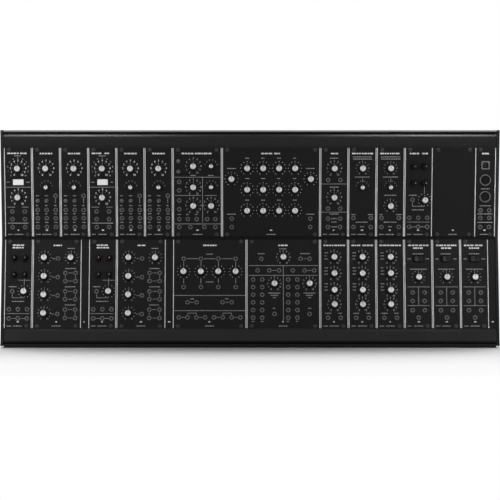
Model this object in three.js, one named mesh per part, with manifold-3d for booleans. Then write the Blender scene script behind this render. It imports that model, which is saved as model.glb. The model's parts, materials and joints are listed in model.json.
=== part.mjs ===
// Modular synthesizer: a rack case with two rows of plug-in modules, knobs that turn,
// rocker switches that tip and a stand that folds out behind.
// Millimetres, +Z up. The panels face -Y and X runs to the right as seen from the front.
// The origin is the middle of the footprint, at table height.

import * as THREE from 'three';
import { mergeVertices } from 'three/addons/utils/BufferGeometryUtils.js';
import Module from 'manifold-3d';

const wasm = await Module();
wasm.setup();

// Rack system: panel widths are counted in pitches
const pitch = 5.08;
const rowPitches = 140;
const panelHeight = 128.5;
const panelThickness = 2;
const panelGap = 0.4;
const rowGap = 4.4;
const rowLean = THREE.MathUtils.degToRad(5);

// Case
const caseDepth = 95;
const wallThickness = 2.8;
const bendRadius = 4;
const cheekThickness = 4.1;
const cheekLip = 1;
const cheekBevel = 0.6;
const matSpace = 2.9;
const matInset = 5;
const seatGap = 0.3;
const overrun = 1;

// Rails: the outer two carry a lip that frames the panels
const lipHeight = 19;
const lipGap = 2.4;
const lipRadius = 4;
const grooveGap = 1.4;
const railWall = 2;
const railDepth = 12;
const railReach = 10.4;
const slotWidth = 3;
const slotDepth = 5;

// Circuit board behind each panel
const boardDepth = 13;
const boardThickness = 1.6;
const boardMargin = 3;
const pillarWidth = 9;
const headerWidth = 20;
const headerHeight = 9;

// Panel screws
const screwRadius = 2.8;
const screwHeight = 1.4;
const screwInset = 7.5;
const screwDrop = 3;

// Knobs
const knobHeight = 9.6;
const knobSkirtRadius = 6.5;
const knobSkirtHeight = 2;
const knobBodyRadius = 4.9;
const knobCapRadius = 4;
const knobStandoff = 0.6;
const shaftRadius = 2.5;
const shaftLength = 6;
const shaftClearance = 0.55;
const pointerWidth = 1;
const pointerHeight = 0.5;
const selectorFootRadius = 4.2;
const selectorCapRadius = 2.8;
const smallKnobRadius = 4.6;
const smallKnobHeight = 8;

// Rocker switches
const rockerLength = 15;
const rockerWidth = 8;
const blackRockerLength = 13;
const blackRockerWidth = 7.2;
const rockerRise = 3.2;
const rockerDip = 0.8;
const rockerDrop = 3;
const rockerClearance = 0.5;
const rockerTilt = THREE.MathUtils.degToRad(7);

// Jack sockets, whose bores end at a thin skin in front of the board, and toggles
const jackBoreRadius = 2.1;
const panelSkin = 0.5;
const toggleRadius = 1.6;
const toggleLength = 7;

// Round five-pin sockets and the square data port
const dinRadius = 8.1;
const dinInsertRadius = 6.6;
const dinRise = 1.2;
const portSize = 12;
const portMouth = 8.5;
const portRise = 1;
const portDepth = 10;
const tongueLength = 4.5;
const tongueWidth = 5.6;
const tongueHeight = 3.2;

// Power bus board inside the case
const busLength = 520;
const busHeight = 62;
const busStandoff = 7;
const standoffRadius = 3;
const busHeaders = 12;
const supplyWidth = 90;
const supplyHeight = 48;
const supplyDepth = 26;

// Power inlet with its switch, low on the back
const inletWidth = 52;
const inletHeight = 24;
const inletFlange = 4;
const inletFlangeThickness = 2;
const inletBodyDepth = 24;
const inletFromEnd = 60;
const inletAboveTable = 60;
const socketWidth = 24;
const socketHeight = 16.5;
const socketDepth = 16;
const bladeWidth = 2;
const bladeHeight = 4;
const bladeLength = 11;
const powerRockerLength = 18;
const powerRockerWidth = 12;
const powerWindowDepth = 11;
const inletMargin = 4;

// Fold-out stand behind the case
const standWidth = 420;
const standArmLength = 190;
const standPivotHeight = 222;
const standBarWidth = 12;
const standBarThickness = 6;
const standPivotOffset = 5.5;
const standPinRadius = 3;
const standPinLength = 7;
const standEarThickness = 9;
const standEarHeight = 20;
const standEarDepth = 11;
const bracketThickness = 2;
const bracketMargin = 5;
const standCornerRadius = 10;

// Ventilation slots in the back wall
const ventLength = 60;
const ventWidth = 3;
const ventPitch = 9;
const ventCount = 5;
const ventFromMiddle = 268;
const ventAboveMiddle = 95;

// How finely round shapes are cut
const knobSides = 8;
const boltSides = 6;
const boreSides = 4;
const dinSides = 12;
const arcSteps = 4;

// Sizes that follow from the driving ones
const rowWidth = rowPitches * pitch;
const rowReach = rowGap / 2 + panelHeight + lipGap + lipHeight;
const halfHeight = rowReach * Math.cos(rowLean) + grooveGap + wallThickness;
const caseBottom = matSpace;
const middleHeight = caseBottom + halfHeight;
const caseTop = middleHeight + halfHeight;
const lipForward = Math.tan(rowLean) * halfHeight;
const backFace = caseDepth - lipForward;
const seat = panelThickness + seatGap;

// Places of the controls of each kind of module. The first number runs across from the panel's
// centre line, as a share of its width, and the second up from its lower edge, as a share of its height.
const grid = (columns, rows) => rows.flatMap((up) => columns.map((across) => [across, up]));
const twinGrid = (offset, places) => places.flatMap(([across, up]) => [[across, up], [across + offset, up]]);

const layoutShares = {
  driver: {
    turning: [0, 0.77],
    knobs: [[0, 0.445]],
    rocker: [0, 0.614],
    jacks: grid([-0.223, 0.223], [0.284, 0.197, 0.107]),
  },
  oscillator: {
    turning: [0, 0.77],
    selectors: [[0, 0.558]],
    toggles: [[-0.32, 0.405], [0, 0.405]],
    jacks: [[0.32, 0.461], ...grid([-0.32, 0, 0.32], [0.301, 0.207, 0.108])],
  },
  wave: {
    turning: [-0.08, 0.795],
    knobs: [[-0.08, 0.559], [-0.08, 0.351], [0.282, 0.351]],
    selectors: [[0.282, 0.795], [0.282, 0.559]],
    toggles: [[-0.385, 0.85], [-0.385, 0.734]],
    jacks: [
      ...grid([-0.37], [0.617, 0.521, 0.408, 0.309]),
      ...grid([-0.37, -0.195, -0.016, 0.197, 0.365], [0.197]),
      ...grid([-0.37, -0.144, 0.14, 0.365], [0.107]),
    ],
  },
  filterBank: {
    turning: [-0.402, 0.652],
    knobs: [[0.402, 0.652], ...grid([-0.243, -0.081, 0.081, 0.243], [0.772, 0.533, 0.297])],
    jacks: grid([-0.4, 0.4], [0.203, 0.108]),
  },
  noise: {
    turning: [0, 0.77],
    knobs: [[0, 0.445]],
    jacks: grid([-0.217, 0.217], [0.638, 0.317, 0.202, 0.108]),
  },
  lowpass: {
    turning: [0, 0.772],
    selectors: [[0, 0.557]],
    jacks: grid([-0.31, 0.31], [0.21, 0.108]),
  },
  highpass: {
    turning: [0, 0.772],
    selectors: [[0, 0.557]],
    knobs: [[0, 0.348]],
    jacks: grid([-0.31, 0.31], [0.21, 0.108]),
  },
  utility: {
    turning: [0.22, 0.415],
    smallKnobs: grid([-0.17, 0.21], [0.79, 0.602]),
    jacks: [[-0.21, 0.415], ...grid([-0.322, 0, 0.322], [0.213, 0.11])],
  },
  blank: {},
  midi: {
    port: [0, 0.804],
    dins: [[0, 0.638], [0, 0.45]],
    jacks: grid([-0.21, 0.21], [0.297, 0.211, 0.108]),
  },
  mixer: {
    turning: [0.285, 0.795],
    knobs: grid([-0.255], [0.795, 0.585, 0.378, 0.17]),
    jacks: [
      ...grid([0.015], [0.785, 0.575, 0.368, 0.16]),
      ...grid([0.168, 0.376], [0.623, 0.531, 0.415, 0.326, 0.21, 0.115]),
    ],
  },
  strip: {},
  voltage: {
    turning: [-0.353, 0.637],
    knobs: grid([-0.118, 0.118, 0.353], [0.637]),
    jacks: [
      ...grid([-0.353, -0.118, 0.118, 0.353], [0.783, 0.463]),
      ...grid([-0.3, -0.175, 0.175, 0.3], [0.292]),
      ...grid([-0.417, -0.298, -0.179, -0.06, 0.06, 0.179, 0.298, 0.417], [0.122]),
    ],
  },
  trigger: {
    turning: [0, 0.8],
    knobs: [[-0.121, 0.502], [0.355, 0.502]],
    jacks: [
      ...grid([-0.299, 0.235, 0.359], [0.783]),
      ...twinGrid(0.476, [[-0.348, 0.651], [-0.189, 0.651], [-0.056, 0.651], [-0.121, 0.161]]),
      ...twinGrid(0.476, grid([-0.41, -0.287], [0.548, 0.463, 0.378, 0.291, 0.205, 0.12])),
    ],
  },
  envelope: {
    turning: [0, 0.8],
    knobs: grid([0], [0.616, 0.43, 0.268]),
    jacks: grid([-0.224, 0.224], [0.118]),
  },
  amplifier: {
    rocker: [0, 0.781],
    knobs: [[0, 0.576]],
    jacks: [...grid([-0.214, 0.214], [0.402, 0.307, 0.202]), [0, 0.12]],
  },
};

const kindPitches = {
  driver: 8, oscillator: 8, wave: 14, filterBank: 28, noise: 8, lowpass: 8, highpass: 8, utility: 8,
  blank: 12, midi: 6, mixer: 14, strip: 2, voltage: 21, trigger: 21, envelope: 8, amplifier: 8,
};

// The rows from left to right. Each unit is one piece on the bench: panels that share a circuit
// board are listed together. `controls` names the piece that turns or tips on each panel in turn.
const upperRow = [
  {
    node: 'oscillator_bank_1',
    kinds: ['driver', 'oscillator', 'oscillator'],
    controls: ['driver_1_knob', 'oscillator_1_knob', 'oscillator_2_knob'],
    rockers: ['driver_1_rocker'],
  },
  {
    node: 'oscillator_bank_2',
    kinds: ['driver', 'oscillator', 'oscillator'],
    controls: ['driver_2_knob', 'oscillator_3_knob', 'oscillator_4_knob'],
    rockers: ['driver_2_rocker'],
  },
  { node: 'wave_module', kinds: ['wave'], controls: ['wave_knob'] },
  { node: 'filter_bank_module', kinds: ['filterBank'], controls: ['filter_bank_knob'] },
  { node: 'noise_module', kinds: ['noise'], controls: ['noise_knob'] },
  { node: 'lowpass_module', kinds: ['lowpass'], controls: ['lowpass_knob'] },
  { node: 'highpass_module', kinds: ['highpass'], controls: ['highpass_knob'] },
  { node: 'utility_module_1', kinds: ['utility'], controls: ['utility_1_knob'] },
  { node: 'blank_panel', kinds: ['blank'] },
  { node: 'midi_module', kinds: ['midi'] },
];

const lowerRow = [
  { node: 'utility_module_2', kinds: ['utility'], controls: ['utility_2_knob'] },
  { node: 'mixer_module_1', kinds: ['mixer', 'strip'], controls: ['mixer_1_knob'] },
  { node: 'utility_module_3', kinds: ['utility'], controls: ['utility_3_knob'] },
  { node: 'mixer_module_2', kinds: ['mixer', 'strip'], controls: ['mixer_2_knob'] },
  { node: 'voltage_module', kinds: ['voltage'], controls: ['voltage_knob'] },
  { node: 'trigger_module', kinds: ['trigger'], controls: ['trigger_knob'] },
  { node: 'envelope_module_1', kinds: ['envelope'], controls: ['envelope_1_knob'] },
  { node: 'envelope_module_2', kinds: ['envelope'], controls: ['envelope_2_knob'] },
  { node: 'envelope_module_3', kinds: ['envelope'], controls: ['envelope_3_knob'] },
  { node: 'amplifier_module_1', kinds: ['amplifier'], rockers: ['amplifier_1_rocker'] },
  { node: 'amplifier_module_2', kinds: ['amplifier'], rockers: ['amplifier_2_rocker'] },
  { node: 'amplifier_module_3', kinds: ['amplifier', 'strip'], rockers: ['amplifier_3_rocker'] },
];

// Finishes
const finish = (color, roughness, metalness) => ({ color, roughness, metalness });
const finishes = {
  blackCase: finish(0x1f1f20, 0.5, 0.3),
  blackPanel: finish(0x1d1d1e, 0.55, 0.2),
  railMetal: finish(0x242425, 0.45, 0.5),
  knob: finish(0xc9c9c7, 0.35, 0.6),
  whiteSwitch: finish(0xe4e4e2, 0.4, 0),
  blackSwitch: finish(0x3c3c3d, 0.4, 0),
  rubber: finish(0x151515, 0.9, 0),
  greenBoard: finish(0x1d4a2c, 0.5, 0.1),
  inletPlastic: finish(0x141414, 0.45, 0),
};

function named(name, geometry, look) {
  const mesh = new THREE.Mesh(geometry, new THREE.MeshStandardMaterial(look));
  mesh.name = name;
  return mesh;
}

// Joining and cutting work on closed bodies whose corners are shared
function bodyFrom(geometry) {
  const bare = geometry.clone();
  bare.deleteAttribute('normal');
  bare.deleteAttribute('uv');
  const merged = mergeVertices(bare);
  const corners = merged.index.array;
  const kept = [];
  for (let i = 0; i < corners.length; i += 3) {
    const [a, b, c] = corners.slice(i, i + 3);
    if (a !== b && b !== c && c !== a) kept.push(a, b, c);
  }
  return new wasm.Manifold(new wasm.Mesh({
    numProp: 3,
    vertProperties: new Float32Array(merged.attributes.position.array),
    triVerts: new Uint32Array(kept),
  }));
}

function geometryFrom(body) {
  const mesh = body.getMesh();
  const geometry = new THREE.BufferGeometry();
  geometry.setAttribute('position', new THREE.BufferAttribute(mesh.vertProperties, 3));
  geometry.setIndex(new THREE.BufferAttribute(mesh.triVerts, 1));
  geometry.computeVertexNormals();
  return geometry;
}

const joined = (bodies) => bodies.reduce((whole, body) => whole.add(body));
const cut = (body, tools) => tools.reduce((left, tool) => left.subtract(tool), body);

// A block from one corner to the opposite one
function block(low, high) {
  const size = high.map((value, axis) => value - low[axis]);
  const geometry = new THREE.BoxGeometry(...size);
  geometry.translate(...low.map((value, axis) => value + size[axis] / 2));
  return bodyFrom(geometry);
}

// A turned piece about the Y axis. The profile lists [radius, depth] from the front inwards.
function turned(profile, sides, [x, z]) {
  const points = profile.map(([radius, depth]) => new THREE.Vector2(radius, depth));
  const geometry = new THREE.LatheGeometry(points, sides);
  geometry.translate(x, 0, z);
  return bodyFrom(geometry);
}

// A straight round piece about an axis along Y, from one depth to another
const roundBar = (radius, front, rear, sides, place) => turned(
  [[0, front], [radius, front], [radius, rear], [0, rear]], sides, place,
);

// A section drawn in the Y-Z plane and drawn out along X, centred on it
const yAxis = new THREE.Vector3(0, 1, 0);
const zAxis = new THREE.Vector3(0, 0, 1);
const xAxis = new THREE.Vector3(1, 0, 0);
const sectionAlongX = new THREE.Matrix4().makeBasis(yAxis, zAxis, xAxis);

function drawnOut(section, length, bevel = 0) {
  const geometry = new THREE.ExtrudeGeometry(section, {
    depth: length - 2 * bevel,
    bevelEnabled: bevel > 0,
    bevelThickness: bevel,
    bevelSize: bevel,
    bevelOffset: -bevel,
    bevelSegments: 1,
    curveSegments: arcSteps,
  });
  geometry.translate(0, 0, bevel - length / 2);
  geometry.applyMatrix4(sectionAlongX);
  return bodyFrom(geometry);
}

const outline = (points) => new THREE.Shape(points.map(([y, z]) => new THREE.Vector2(y, z)));

// Case tray: top, back and bottom wall bent from one sheet
function traySection() {
  const innerRadius = bendRadius - wallThickness;
  const cornerDepth = backFace - bendRadius;
  const upper = caseTop - bendRadius;
  const lower = caseBottom + bendRadius;
  const section = new THREE.Shape();
  section.moveTo(-lipForward, caseTop);
  section.lineTo(-lipForward, caseTop - wallThickness);
  section.absarc(cornerDepth, upper, innerRadius, Math.PI / 2, 0, true);
  section.absarc(cornerDepth, lower, innerRadius, 0, -Math.PI / 2, true);
  section.lineTo(-lipForward, caseBottom + wallThickness);
  section.lineTo(-lipForward, caseBottom);
  section.absarc(cornerDepth, lower, bendRadius, -Math.PI / 2, 0, false);
  section.absarc(cornerDepth, upper, bendRadius, 0, Math.PI / 2, false);
  section.closePath();
  return section;
}

const pivotDepth = backFace + standPivotOffset;
const earCentre = standWidth / 2 + 2 * seatGap + standEarThickness / 2;
const inletCentre = rowWidth / 2 - inletFromEnd;

// An ear of the stand's bracket, or with a gap the slot for it in the back wall
function standEar(side, from, gap) {
  const half = standEarThickness / 2 + gap;
  const high = standEarHeight / 2 + gap;
  return block(
    [side * earCentre - half, from, standPivotHeight - high],
    [side * earCentre + half, backFace + standEarDepth, standPivotHeight + high],
  );
}

// A round bar along X through the stand's pivot line
function pivotBar(radius, from, to) {
  const geometry = new THREE.CylinderGeometry(radius, radius, to - from, knobSides);
  geometry.rotateZ(-Math.PI / 2);
  geometry.translate((from + to) / 2, pivotDepth, standPivotHeight);
  return bodyFrom(geometry);
}

function ventSlots() {
  const slots = [];
  for (const side of [-1, 1]) {
    for (let i = 0; i < ventCount; i += 1) {
      const height = middleHeight + ventAboveMiddle - i * ventPitch;
      slots.push(block(
        [side * ventFromMiddle - ventLength / 2, backFace - wallThickness - overrun, height - ventWidth / 2],
        [side * ventFromMiddle + ventLength / 2, backFace + overrun, height + ventWidth / 2],
      ));
    }
  }
  return slots;
}

function backTray() {
  const inside = backFace - wallThickness - overrun;
  const inletHole = block(
    [inletCentre - inletWidth / 2 - seatGap, inside, inletAboveTable - inletHeight / 2 - seatGap],
    [inletCentre + inletWidth / 2 + seatGap, backFace + overrun, inletAboveTable + inletHeight / 2 + seatGap],
  );
  const earSlots = [-1, 1].map((side) => standEar(side, inside, seatGap));
  return cut(drawnOut(traySection(), rowWidth), [inletHole, ...earSlots, ...ventSlots()]);
}

// Stand bracket: a plate inside the back wall, with an ear at each end that comes out through it
function standBracket() {
  const rear = backFace - wallThickness - seatGap;
  const front = rear - bracketThickness;
  const half = earCentre + standEarThickness / 2 + bracketMargin;
  const high = standEarHeight / 2 + bracketMargin;
  const plate = block([-half, front, standPivotHeight - high], [half, rear, standPivotHeight + high]);
  const ears = [-1, 1].map((side) => standEar(side, (front + rear) / 2, 0));
  const boreRadius = standPinRadius + seatGap / Math.cos(Math.PI / knobSides) + seatGap / 2;
  return cut(joined([plate, ...ears]), [pivotBar(boreRadius, -half, half)]);
}

// Side cheek: its front edge follows the shallow V of the two rows
function cheek() {
  const rear = backFace - bendRadius;
  const section = new THREE.Shape();
  section.moveTo(-lipForward - cheekLip, caseTop);
  section.lineTo(-cheekLip, middleHeight);
  section.lineTo(-lipForward - cheekLip, caseBottom);
  section.absarc(rear, caseBottom + bendRadius, bendRadius, -Math.PI / 2, 0, false);
  section.absarc(rear, caseTop - bendRadius, bendRadius, 0, Math.PI / 2, false);
  section.closePath();
  return drawnOut(section, cheekThickness, cheekBevel);
}

// Outer rail, drawn for the upper row: the lip in front, the screw channel behind the panel edge.
// Places run along the row's plane from the line where the rows meet, and back from its front.
function outerRailSection(side) {
  const edge = rowGap / 2 + panelHeight;
  const lipStart = edge + lipGap;
  const lipEnd = lipStart + lipHeight;
  const slot = edge - screwDrop;
  const points = [
    [seat, edge - railReach],
    [seat, slot - slotWidth / 2],
    [seat + slotDepth, slot - slotWidth / 2],
    [seat + slotDepth, slot + slotWidth / 2],
    [seat, slot + slotWidth / 2],
    [seat, lipStart],
    [0, lipStart],
  ];
  for (let i = 0; i <= arcSteps; i += 1) {
    const turn = (i / arcSteps) * (Math.PI / 2);
    points.push([
      lipRadius - lipRadius * Math.cos(turn),
      lipEnd - lipRadius + lipRadius * Math.sin(turn),
    ]);
  }
  points.push(
    [railDepth, lipEnd],
    [railDepth, lipEnd - railWall],
    [railWall, lipEnd - railWall],
    [railWall, lipStart + railWall],
    [railDepth, lipStart + railWall],
    [railDepth, edge - railReach],
  );
  return outline(points.map(([depth, along]) => [depth, side * along]));
}

// Middle rail: one V-shaped bar with a screw channel for each row
function middleRailSection() {
  const along = rowGap / 2;
  const slot = along + screwDrop;
  const half = [
    [seat, slot - slotWidth / 2],
    [seat + slotDepth, slot - slotWidth / 2],
    [seat + slotDepth, slot + slotWidth / 2],
    [seat, slot + slotWidth / 2],
    [seat, along + railReach],
    [railDepth, along + railReach],
  ];
  const lean = (side) => ([depth, up]) => [
    depth * Math.cos(rowLean) - up * Math.sin(rowLean),
    middleHeight + side * (up * Math.cos(rowLean) + depth * Math.sin(rowLean)),
  ];
  return outline([
    [seat / Math.cos(rowLean), middleHeight],
    ...half.map(lean(1)),
    [railDepth / Math.cos(rowLean), middleHeight],
    ...half.map(lean(-1)).reverse(),
  ]);
}

// Rubber mat that the whole case stands on
function baseMat() {
  return block(
    [-rowWidth / 2, matInset - lipForward, 0],
    [rowWidth / 2, backFace - bendRadius - matInset, matSpace - seatGap],
  );
}

// Bus board: standoffs to the back wall, header sockets for the modules, and the supply's cage
function busBoard() {
  const rear = backFace - wallThickness - seatGap;
  const front = rear - busStandoff - boardThickness;
  const low = middleHeight - busHeight / 2;
  const board = block(
    [-busLength / 2, front, low],
    [busLength / 2, rear - busStandoff, low + busHeight],
  );
  const headerStep = (busLength - supplyWidth) / (busHeaders + 1);
  const headers = [];
  for (let i = 1; i <= busHeaders; i += 1) {
    const x = -busLength / 2 + i * headerStep;
    headers.push(block(
      [x - headerHeight / 2, front - headerHeight, middleHeight - headerWidth / 2],
      [x + headerHeight / 2, front + boardThickness / 2, middleHeight + headerWidth / 2],
    ));
  }
  const supply = block(
    [busLength / 2 - supplyWidth, front - supplyDepth, middleHeight - supplyHeight / 2],
    [busLength / 2 - boardMargin, front + boardThickness / 2, middleHeight + supplyHeight / 2],
  );
  const standoffs = grid([-1, 0, 1], [-1, 1]).map(([across, up]) => roundBar(
    standoffRadius,
    front + boardThickness / 2,
    rear,
    boltSides,
    [across * (busLength / 2 - headerWidth), middleHeight + up * (busHeight / 2 - headerHeight)],
  ));
  return joined([board, ...headers, supply, ...standoffs]);
}

// Power inlet: a flange outside, a housing through the wall, the plug's socket and a rocker window
const windowHalf = powerRockerWidth / 2 + rockerClearance;
const switchCentre = inletCentre - inletWidth / 2 + inletMargin + windowHalf;
const socketCentre = inletCentre + inletWidth / 2 - inletMargin - socketWidth / 2;
const flangeFace = backFace + seatGap + inletFlangeThickness;

function powerInlet() {
  const halfWidth = inletWidth / 2;
  const halfHigh = inletHeight / 2;
  const middle = inletAboveTable;
  const housing = block(
    [inletCentre - halfWidth, backFace - inletBodyDepth, middle - halfHigh],
    [inletCentre + halfWidth, flangeFace, middle + halfHigh],
  );
  const flange = block(
    [inletCentre - halfWidth - inletFlange, backFace + seatGap, middle - halfHigh - inletFlange],
    [inletCentre + halfWidth + inletFlange, flangeFace, middle + halfHigh + inletFlange],
  );
  const socket = block(
    [socketCentre - socketWidth / 2, flangeFace - socketDepth, middle - socketHeight / 2],
    [socketCentre + socketWidth / 2, flangeFace + overrun, middle + socketHeight / 2],
  );
  const windowHigh = powerRockerLength / 2 + rockerClearance;
  const window = block(
    [switchCentre - windowHalf, flangeFace - powerWindowDepth, middle - windowHigh],
    [switchCentre + windowHalf, flangeFace + overrun, middle + windowHigh],
  );
  const bladeShares = [[-0.29, -0.12], [0, 0.12], [0.29, -0.12]];
  const blades = bladeShares.map(([across, up]) => {
    const x = socketCentre + across * socketWidth;
    const z = middle + up * socketHeight;
    return block(
      [x - bladeWidth / 2, flangeFace - socketDepth - overrun, z - bladeHeight / 2],
      [x + bladeWidth / 2, flangeFace - socketDepth + bladeLength, z + bladeHeight / 2],
    );
  });
  return joined([cut(joined([housing, flange]), [socket, window]), ...blades]);
}

// A rocker about its pivot: its two faces dip towards the middle, and its flanks draw in behind
function rocker(length, width) {
  const half = length / 2;
  const flankShare = 0.85;
  const section = outline([
    [-rockerRise, -half],
    [rockerDrop, -half * flankShare],
    [rockerDrop, half * flankShare],
    [-rockerRise, half],
    [rockerDip - rockerRise, 0],
  ]);
  return geometryFrom(drawnOut(section, width));
}

// Stand: a flat U-shaped bail with a heavier foot bar and a pin at the top of each arm
function rearStand() {
  const front = pivotDepth - standBarThickness / 2;
  const rear = pivotDepth + standBarThickness / 2;
  const half = standWidth / 2;
  const foot = standPivotHeight - standArmLength;
  const top = standPivotHeight + standPinRadius + seatGap;
  const bail = new THREE.Shape();
  const cornerAcross = half - standCornerRadius;
  const cornerUp = foot + standCornerRadius;
  bail.moveTo(-half, top);
  bail.lineTo(-half, cornerUp);
  bail.absarc(-cornerAcross, cornerUp, standCornerRadius, Math.PI, 1.5 * Math.PI, false);
  bail.absarc(cornerAcross, cornerUp, standCornerRadius, 1.5 * Math.PI, 2 * Math.PI, false);
  bail.lineTo(half, top);
  bail.lineTo(half - standBarWidth, top);
  bail.lineTo(half - standBarWidth, foot + standBarWidth);
  bail.lineTo(standBarWidth - half, foot + standBarWidth);
  bail.lineTo(standBarWidth - half, top);
  bail.closePath();
  const geometry = new THREE.ExtrudeGeometry(bail, {
    depth: standBarThickness,
    bevelEnabled: false,
    curveSegments: arcSteps,
  });
  geometry.rotateX(Math.PI / 2);
  geometry.translate(0, rear, 0);
  const stop = block(
    [standBarWidth - half, backFace + seatGap, foot + seatGap],
    [half - standBarWidth, front + overrun, foot + standBarWidth - seatGap],
  );
  const pins = [-1, 1].map((side) => {
    const inner = side * (half - standBarWidth / 2);
    const outer = side * (half + standPinLength);
    return pivotBar(standPinRadius, Math.min(inner, outer), Math.max(inner, outer));
  });
  return joined([bodyFrom(geometry), stop, ...pins]);
}

// Panel pieces stand on the panel's front, at depth 0, and reach half way into it
const rooted = panelThickness / 2;

const plainKnob = (place) => turned([
  [0, -knobHeight],
  [knobCapRadius, -knobHeight],
  [knobBodyRadius, -knobSkirtHeight],
  [knobSkirtRadius, -knobSkirtHeight],
  [knobSkirtRadius, rooted],
  [0, rooted],
], knobSides, place);

const taperedKnob = (place, footRadius, capRadius) => turned([
  [0, -smallKnobHeight],
  [capRadius, -smallKnobHeight],
  [footRadius, rooted],
  [0, rooted],
], knobSides, place);

const selectorKnob = (place) => taperedKnob(place, selectorFootRadius, selectorCapRadius);
const smallKnob = (place) => taperedKnob(place, smallKnobRadius, knobCapRadius);

const jackBore = (place) => roundBar(
  jackBoreRadius, -overrun, panelThickness - panelSkin, boreSides, place,
);
const shaft = (place) => roundBar(shaftRadius, -shaftLength, rooted, knobSides, place);
const screwHead = (place) => roundBar(screwRadius, -screwHeight, rooted, boltSides, place);

const toggle = (place) => roundBar(toggleRadius, -toggleLength, rooted, boltSides, place);

// A round socket: a raised ring about an insert that lies at panel level
const dinSocket = (place) => turned([
  [0, 0],
  [dinInsertRadius, 0],
  [dinInsertRadius, -dinRise],
  [dinRadius, -dinRise],
  [dinRadius, rooted],
  [0, rooted],
], dinSides, place);

function dataPort([x, z]) {
  const half = portSize / 2;
  const mouth = portMouth / 2;
  const shell = block([x - half, -portRise, z - half], [x + half, portDepth, z + half]);
  const hollow = block(
    [x - mouth, -portRise - overrun, z - mouth],
    [x + mouth, portDepth - panelThickness, z + mouth],
  );
  const tongue = block(
    [x - tongueWidth / 2, portDepth - panelThickness - tongueLength, z - tongueHeight / 2],
    [x + tongueWidth / 2, portDepth, z + tongueHeight / 2],
  );
  return { shell, hollow, tongue };
}

function rockerSize(kind) {
  return kind === 'driver' ? [rockerLength, rockerWidth] : [blackRockerLength, blackRockerWidth];
}

// Screws: one in each upper left and lower right corner, and in all four corners of a wide panel
function screwPlaces(width, pitches) {
  const side = Math.min(width / 2 - screwInset / 2, width / 2 - screwInset + screwRadius);
  const top = panelHeight - screwDrop;
  const pair = [[-side, top], [side, screwDrop]];
  return pitches < kindPitches.blank ? pair : [...pair, [side, top], [-side, screwDrop]];
}

// One panel with all that is fixed on it, centred on its own width, its lower edge at height 0
function panelParts(kind) {
  const shares = layoutShares[kind];
  const pitches = kindPitches[kind];
  const cell = pitches * pitch;
  const width = cell - panelGap;
  const at = ([across, up]) => [across * cell, up * panelHeight];
  const all = (key, make) => (shares[key] ?? []).map((share) => make(at(share)));
  const parts = [
    block([-width / 2, 0, 0], [width / 2, panelThickness, panelHeight]),
    ...all('knobs', plainKnob),
    ...all('selectors', selectorKnob),
    ...all('smallKnobs', smallKnob),
    ...all('toggles', toggle),
    ...all('dins', dinSocket),
  ];
  if (kind !== 'strip') parts.push(...screwPlaces(width, pitches).map(screwHead));
  if (shares.turning) parts.push(shaft(at(shares.turning)));
  const bores = all('jacks', jackBore);
  if (shares.rocker) {
    const [x, z] = at(shares.rocker);
    const [length, high] = rockerSize(kind).map((size) => size / 2 + rockerClearance);
    bores.push(block(
      [x - length, -overrun, z - high],
      [x + length, panelThickness + overrun, z + high],
    ));
  }
  if (shares.port) {
    const { shell, hollow, tongue } = dataPort(at(shares.port));
    return joined([cut(joined([...parts, shell]), [...bores, hollow]), tongue]);
  }
  return cut(joined(parts), bores);
}

const unitCells = (unit) => unit.kinds.map((kind) => kindPitches[kind] * pitch);
const total = (lengths) => lengths.reduce((sum, length) => sum + length, 0);

// Middle of each panel of a unit, counted from the unit's own left edge
function panelCentres(unit) {
  const cells = unitCells(unit);
  return cells.map((cell, i) => total(cells.slice(0, i)) + cell / 2);
}

// The shared board behind a unit's panels, on two pillars per panel
function boardParts(unit) {
  const cells = unitCells(unit);
  const centres = panelCentres(unit);
  const marginShare = 0.1;
  const pillarShares = [0.24, 0.88];
  const board = block(
    [boardMargin, boardDepth, marginShare * panelHeight],
    [total(cells) - boardMargin, boardDepth + boardThickness, (1 - marginShare) * panelHeight],
  );
  const pillars = centres.flatMap((x, i) => pillarShares.map((share) => {
    const half = Math.min(pillarWidth, cells[i] - panelGap - boardMargin) / 2;
    const z = share * panelHeight;
    return block(
      [x - half, rooted, z - pillarWidth / 2],
      [x + half, boardDepth + boardThickness / 2, z + pillarWidth / 2],
    );
  }));
  const header = block(
    [centres[0] - headerHeight / 2, boardDepth + boardThickness / 2, (panelHeight - headerWidth) / 2],
    [centres[0] + headerHeight / 2, boardDepth + headerHeight, (panelHeight + headerWidth) / 2],
  );
  return [board, ...pillars, header];
}

function unitBody(unit) {
  const centres = panelCentres(unit);
  const panels = unit.kinds.map((kind, i) => panelParts(kind).translate([centres[i], 0, 0]));
  return joined([...panels, ...boardParts(unit)]);
}

// The knob that turns: a skirt and a drawn-in body over a blind bore for the shaft, with a pointer
function turningKnob() {
  const boreRadius = shaftRadius + shaftClearance;
  const body = turned([
    [0, -knobHeight],
    [knobCapRadius, -knobHeight],
    [knobBodyRadius, -knobSkirtHeight],
    [knobSkirtRadius, -knobSkirtHeight],
    [knobSkirtRadius, -knobStandoff],
    [boreRadius, -knobStandoff],
    [boreRadius, -shaftLength - seatGap],
    [0, -shaftLength - seatGap],
  ], knobSides, [0, 0]);
  const pointer = block(
    [-pointerWidth / 2, -knobHeight - pointerHeight, 0],
    [pointerWidth / 2, pointerHeight - knobHeight, knobCapRadius * Math.cos(Math.PI / knobSides)],
  );
  return geometryFrom(body.add(pointer));
}

const knobGeometry = turningKnob();
const whiteRockerGeometry = rocker(rockerLength, rockerWidth);
const blackRockerGeometry = rocker(blackRockerLength, blackRockerWidth);

function placedControl(name, geometry, look, [x, z]) {
  const mesh = named(name, geometry, look);
  mesh.position.set(x, 0, z);
  return mesh;
}

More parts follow.
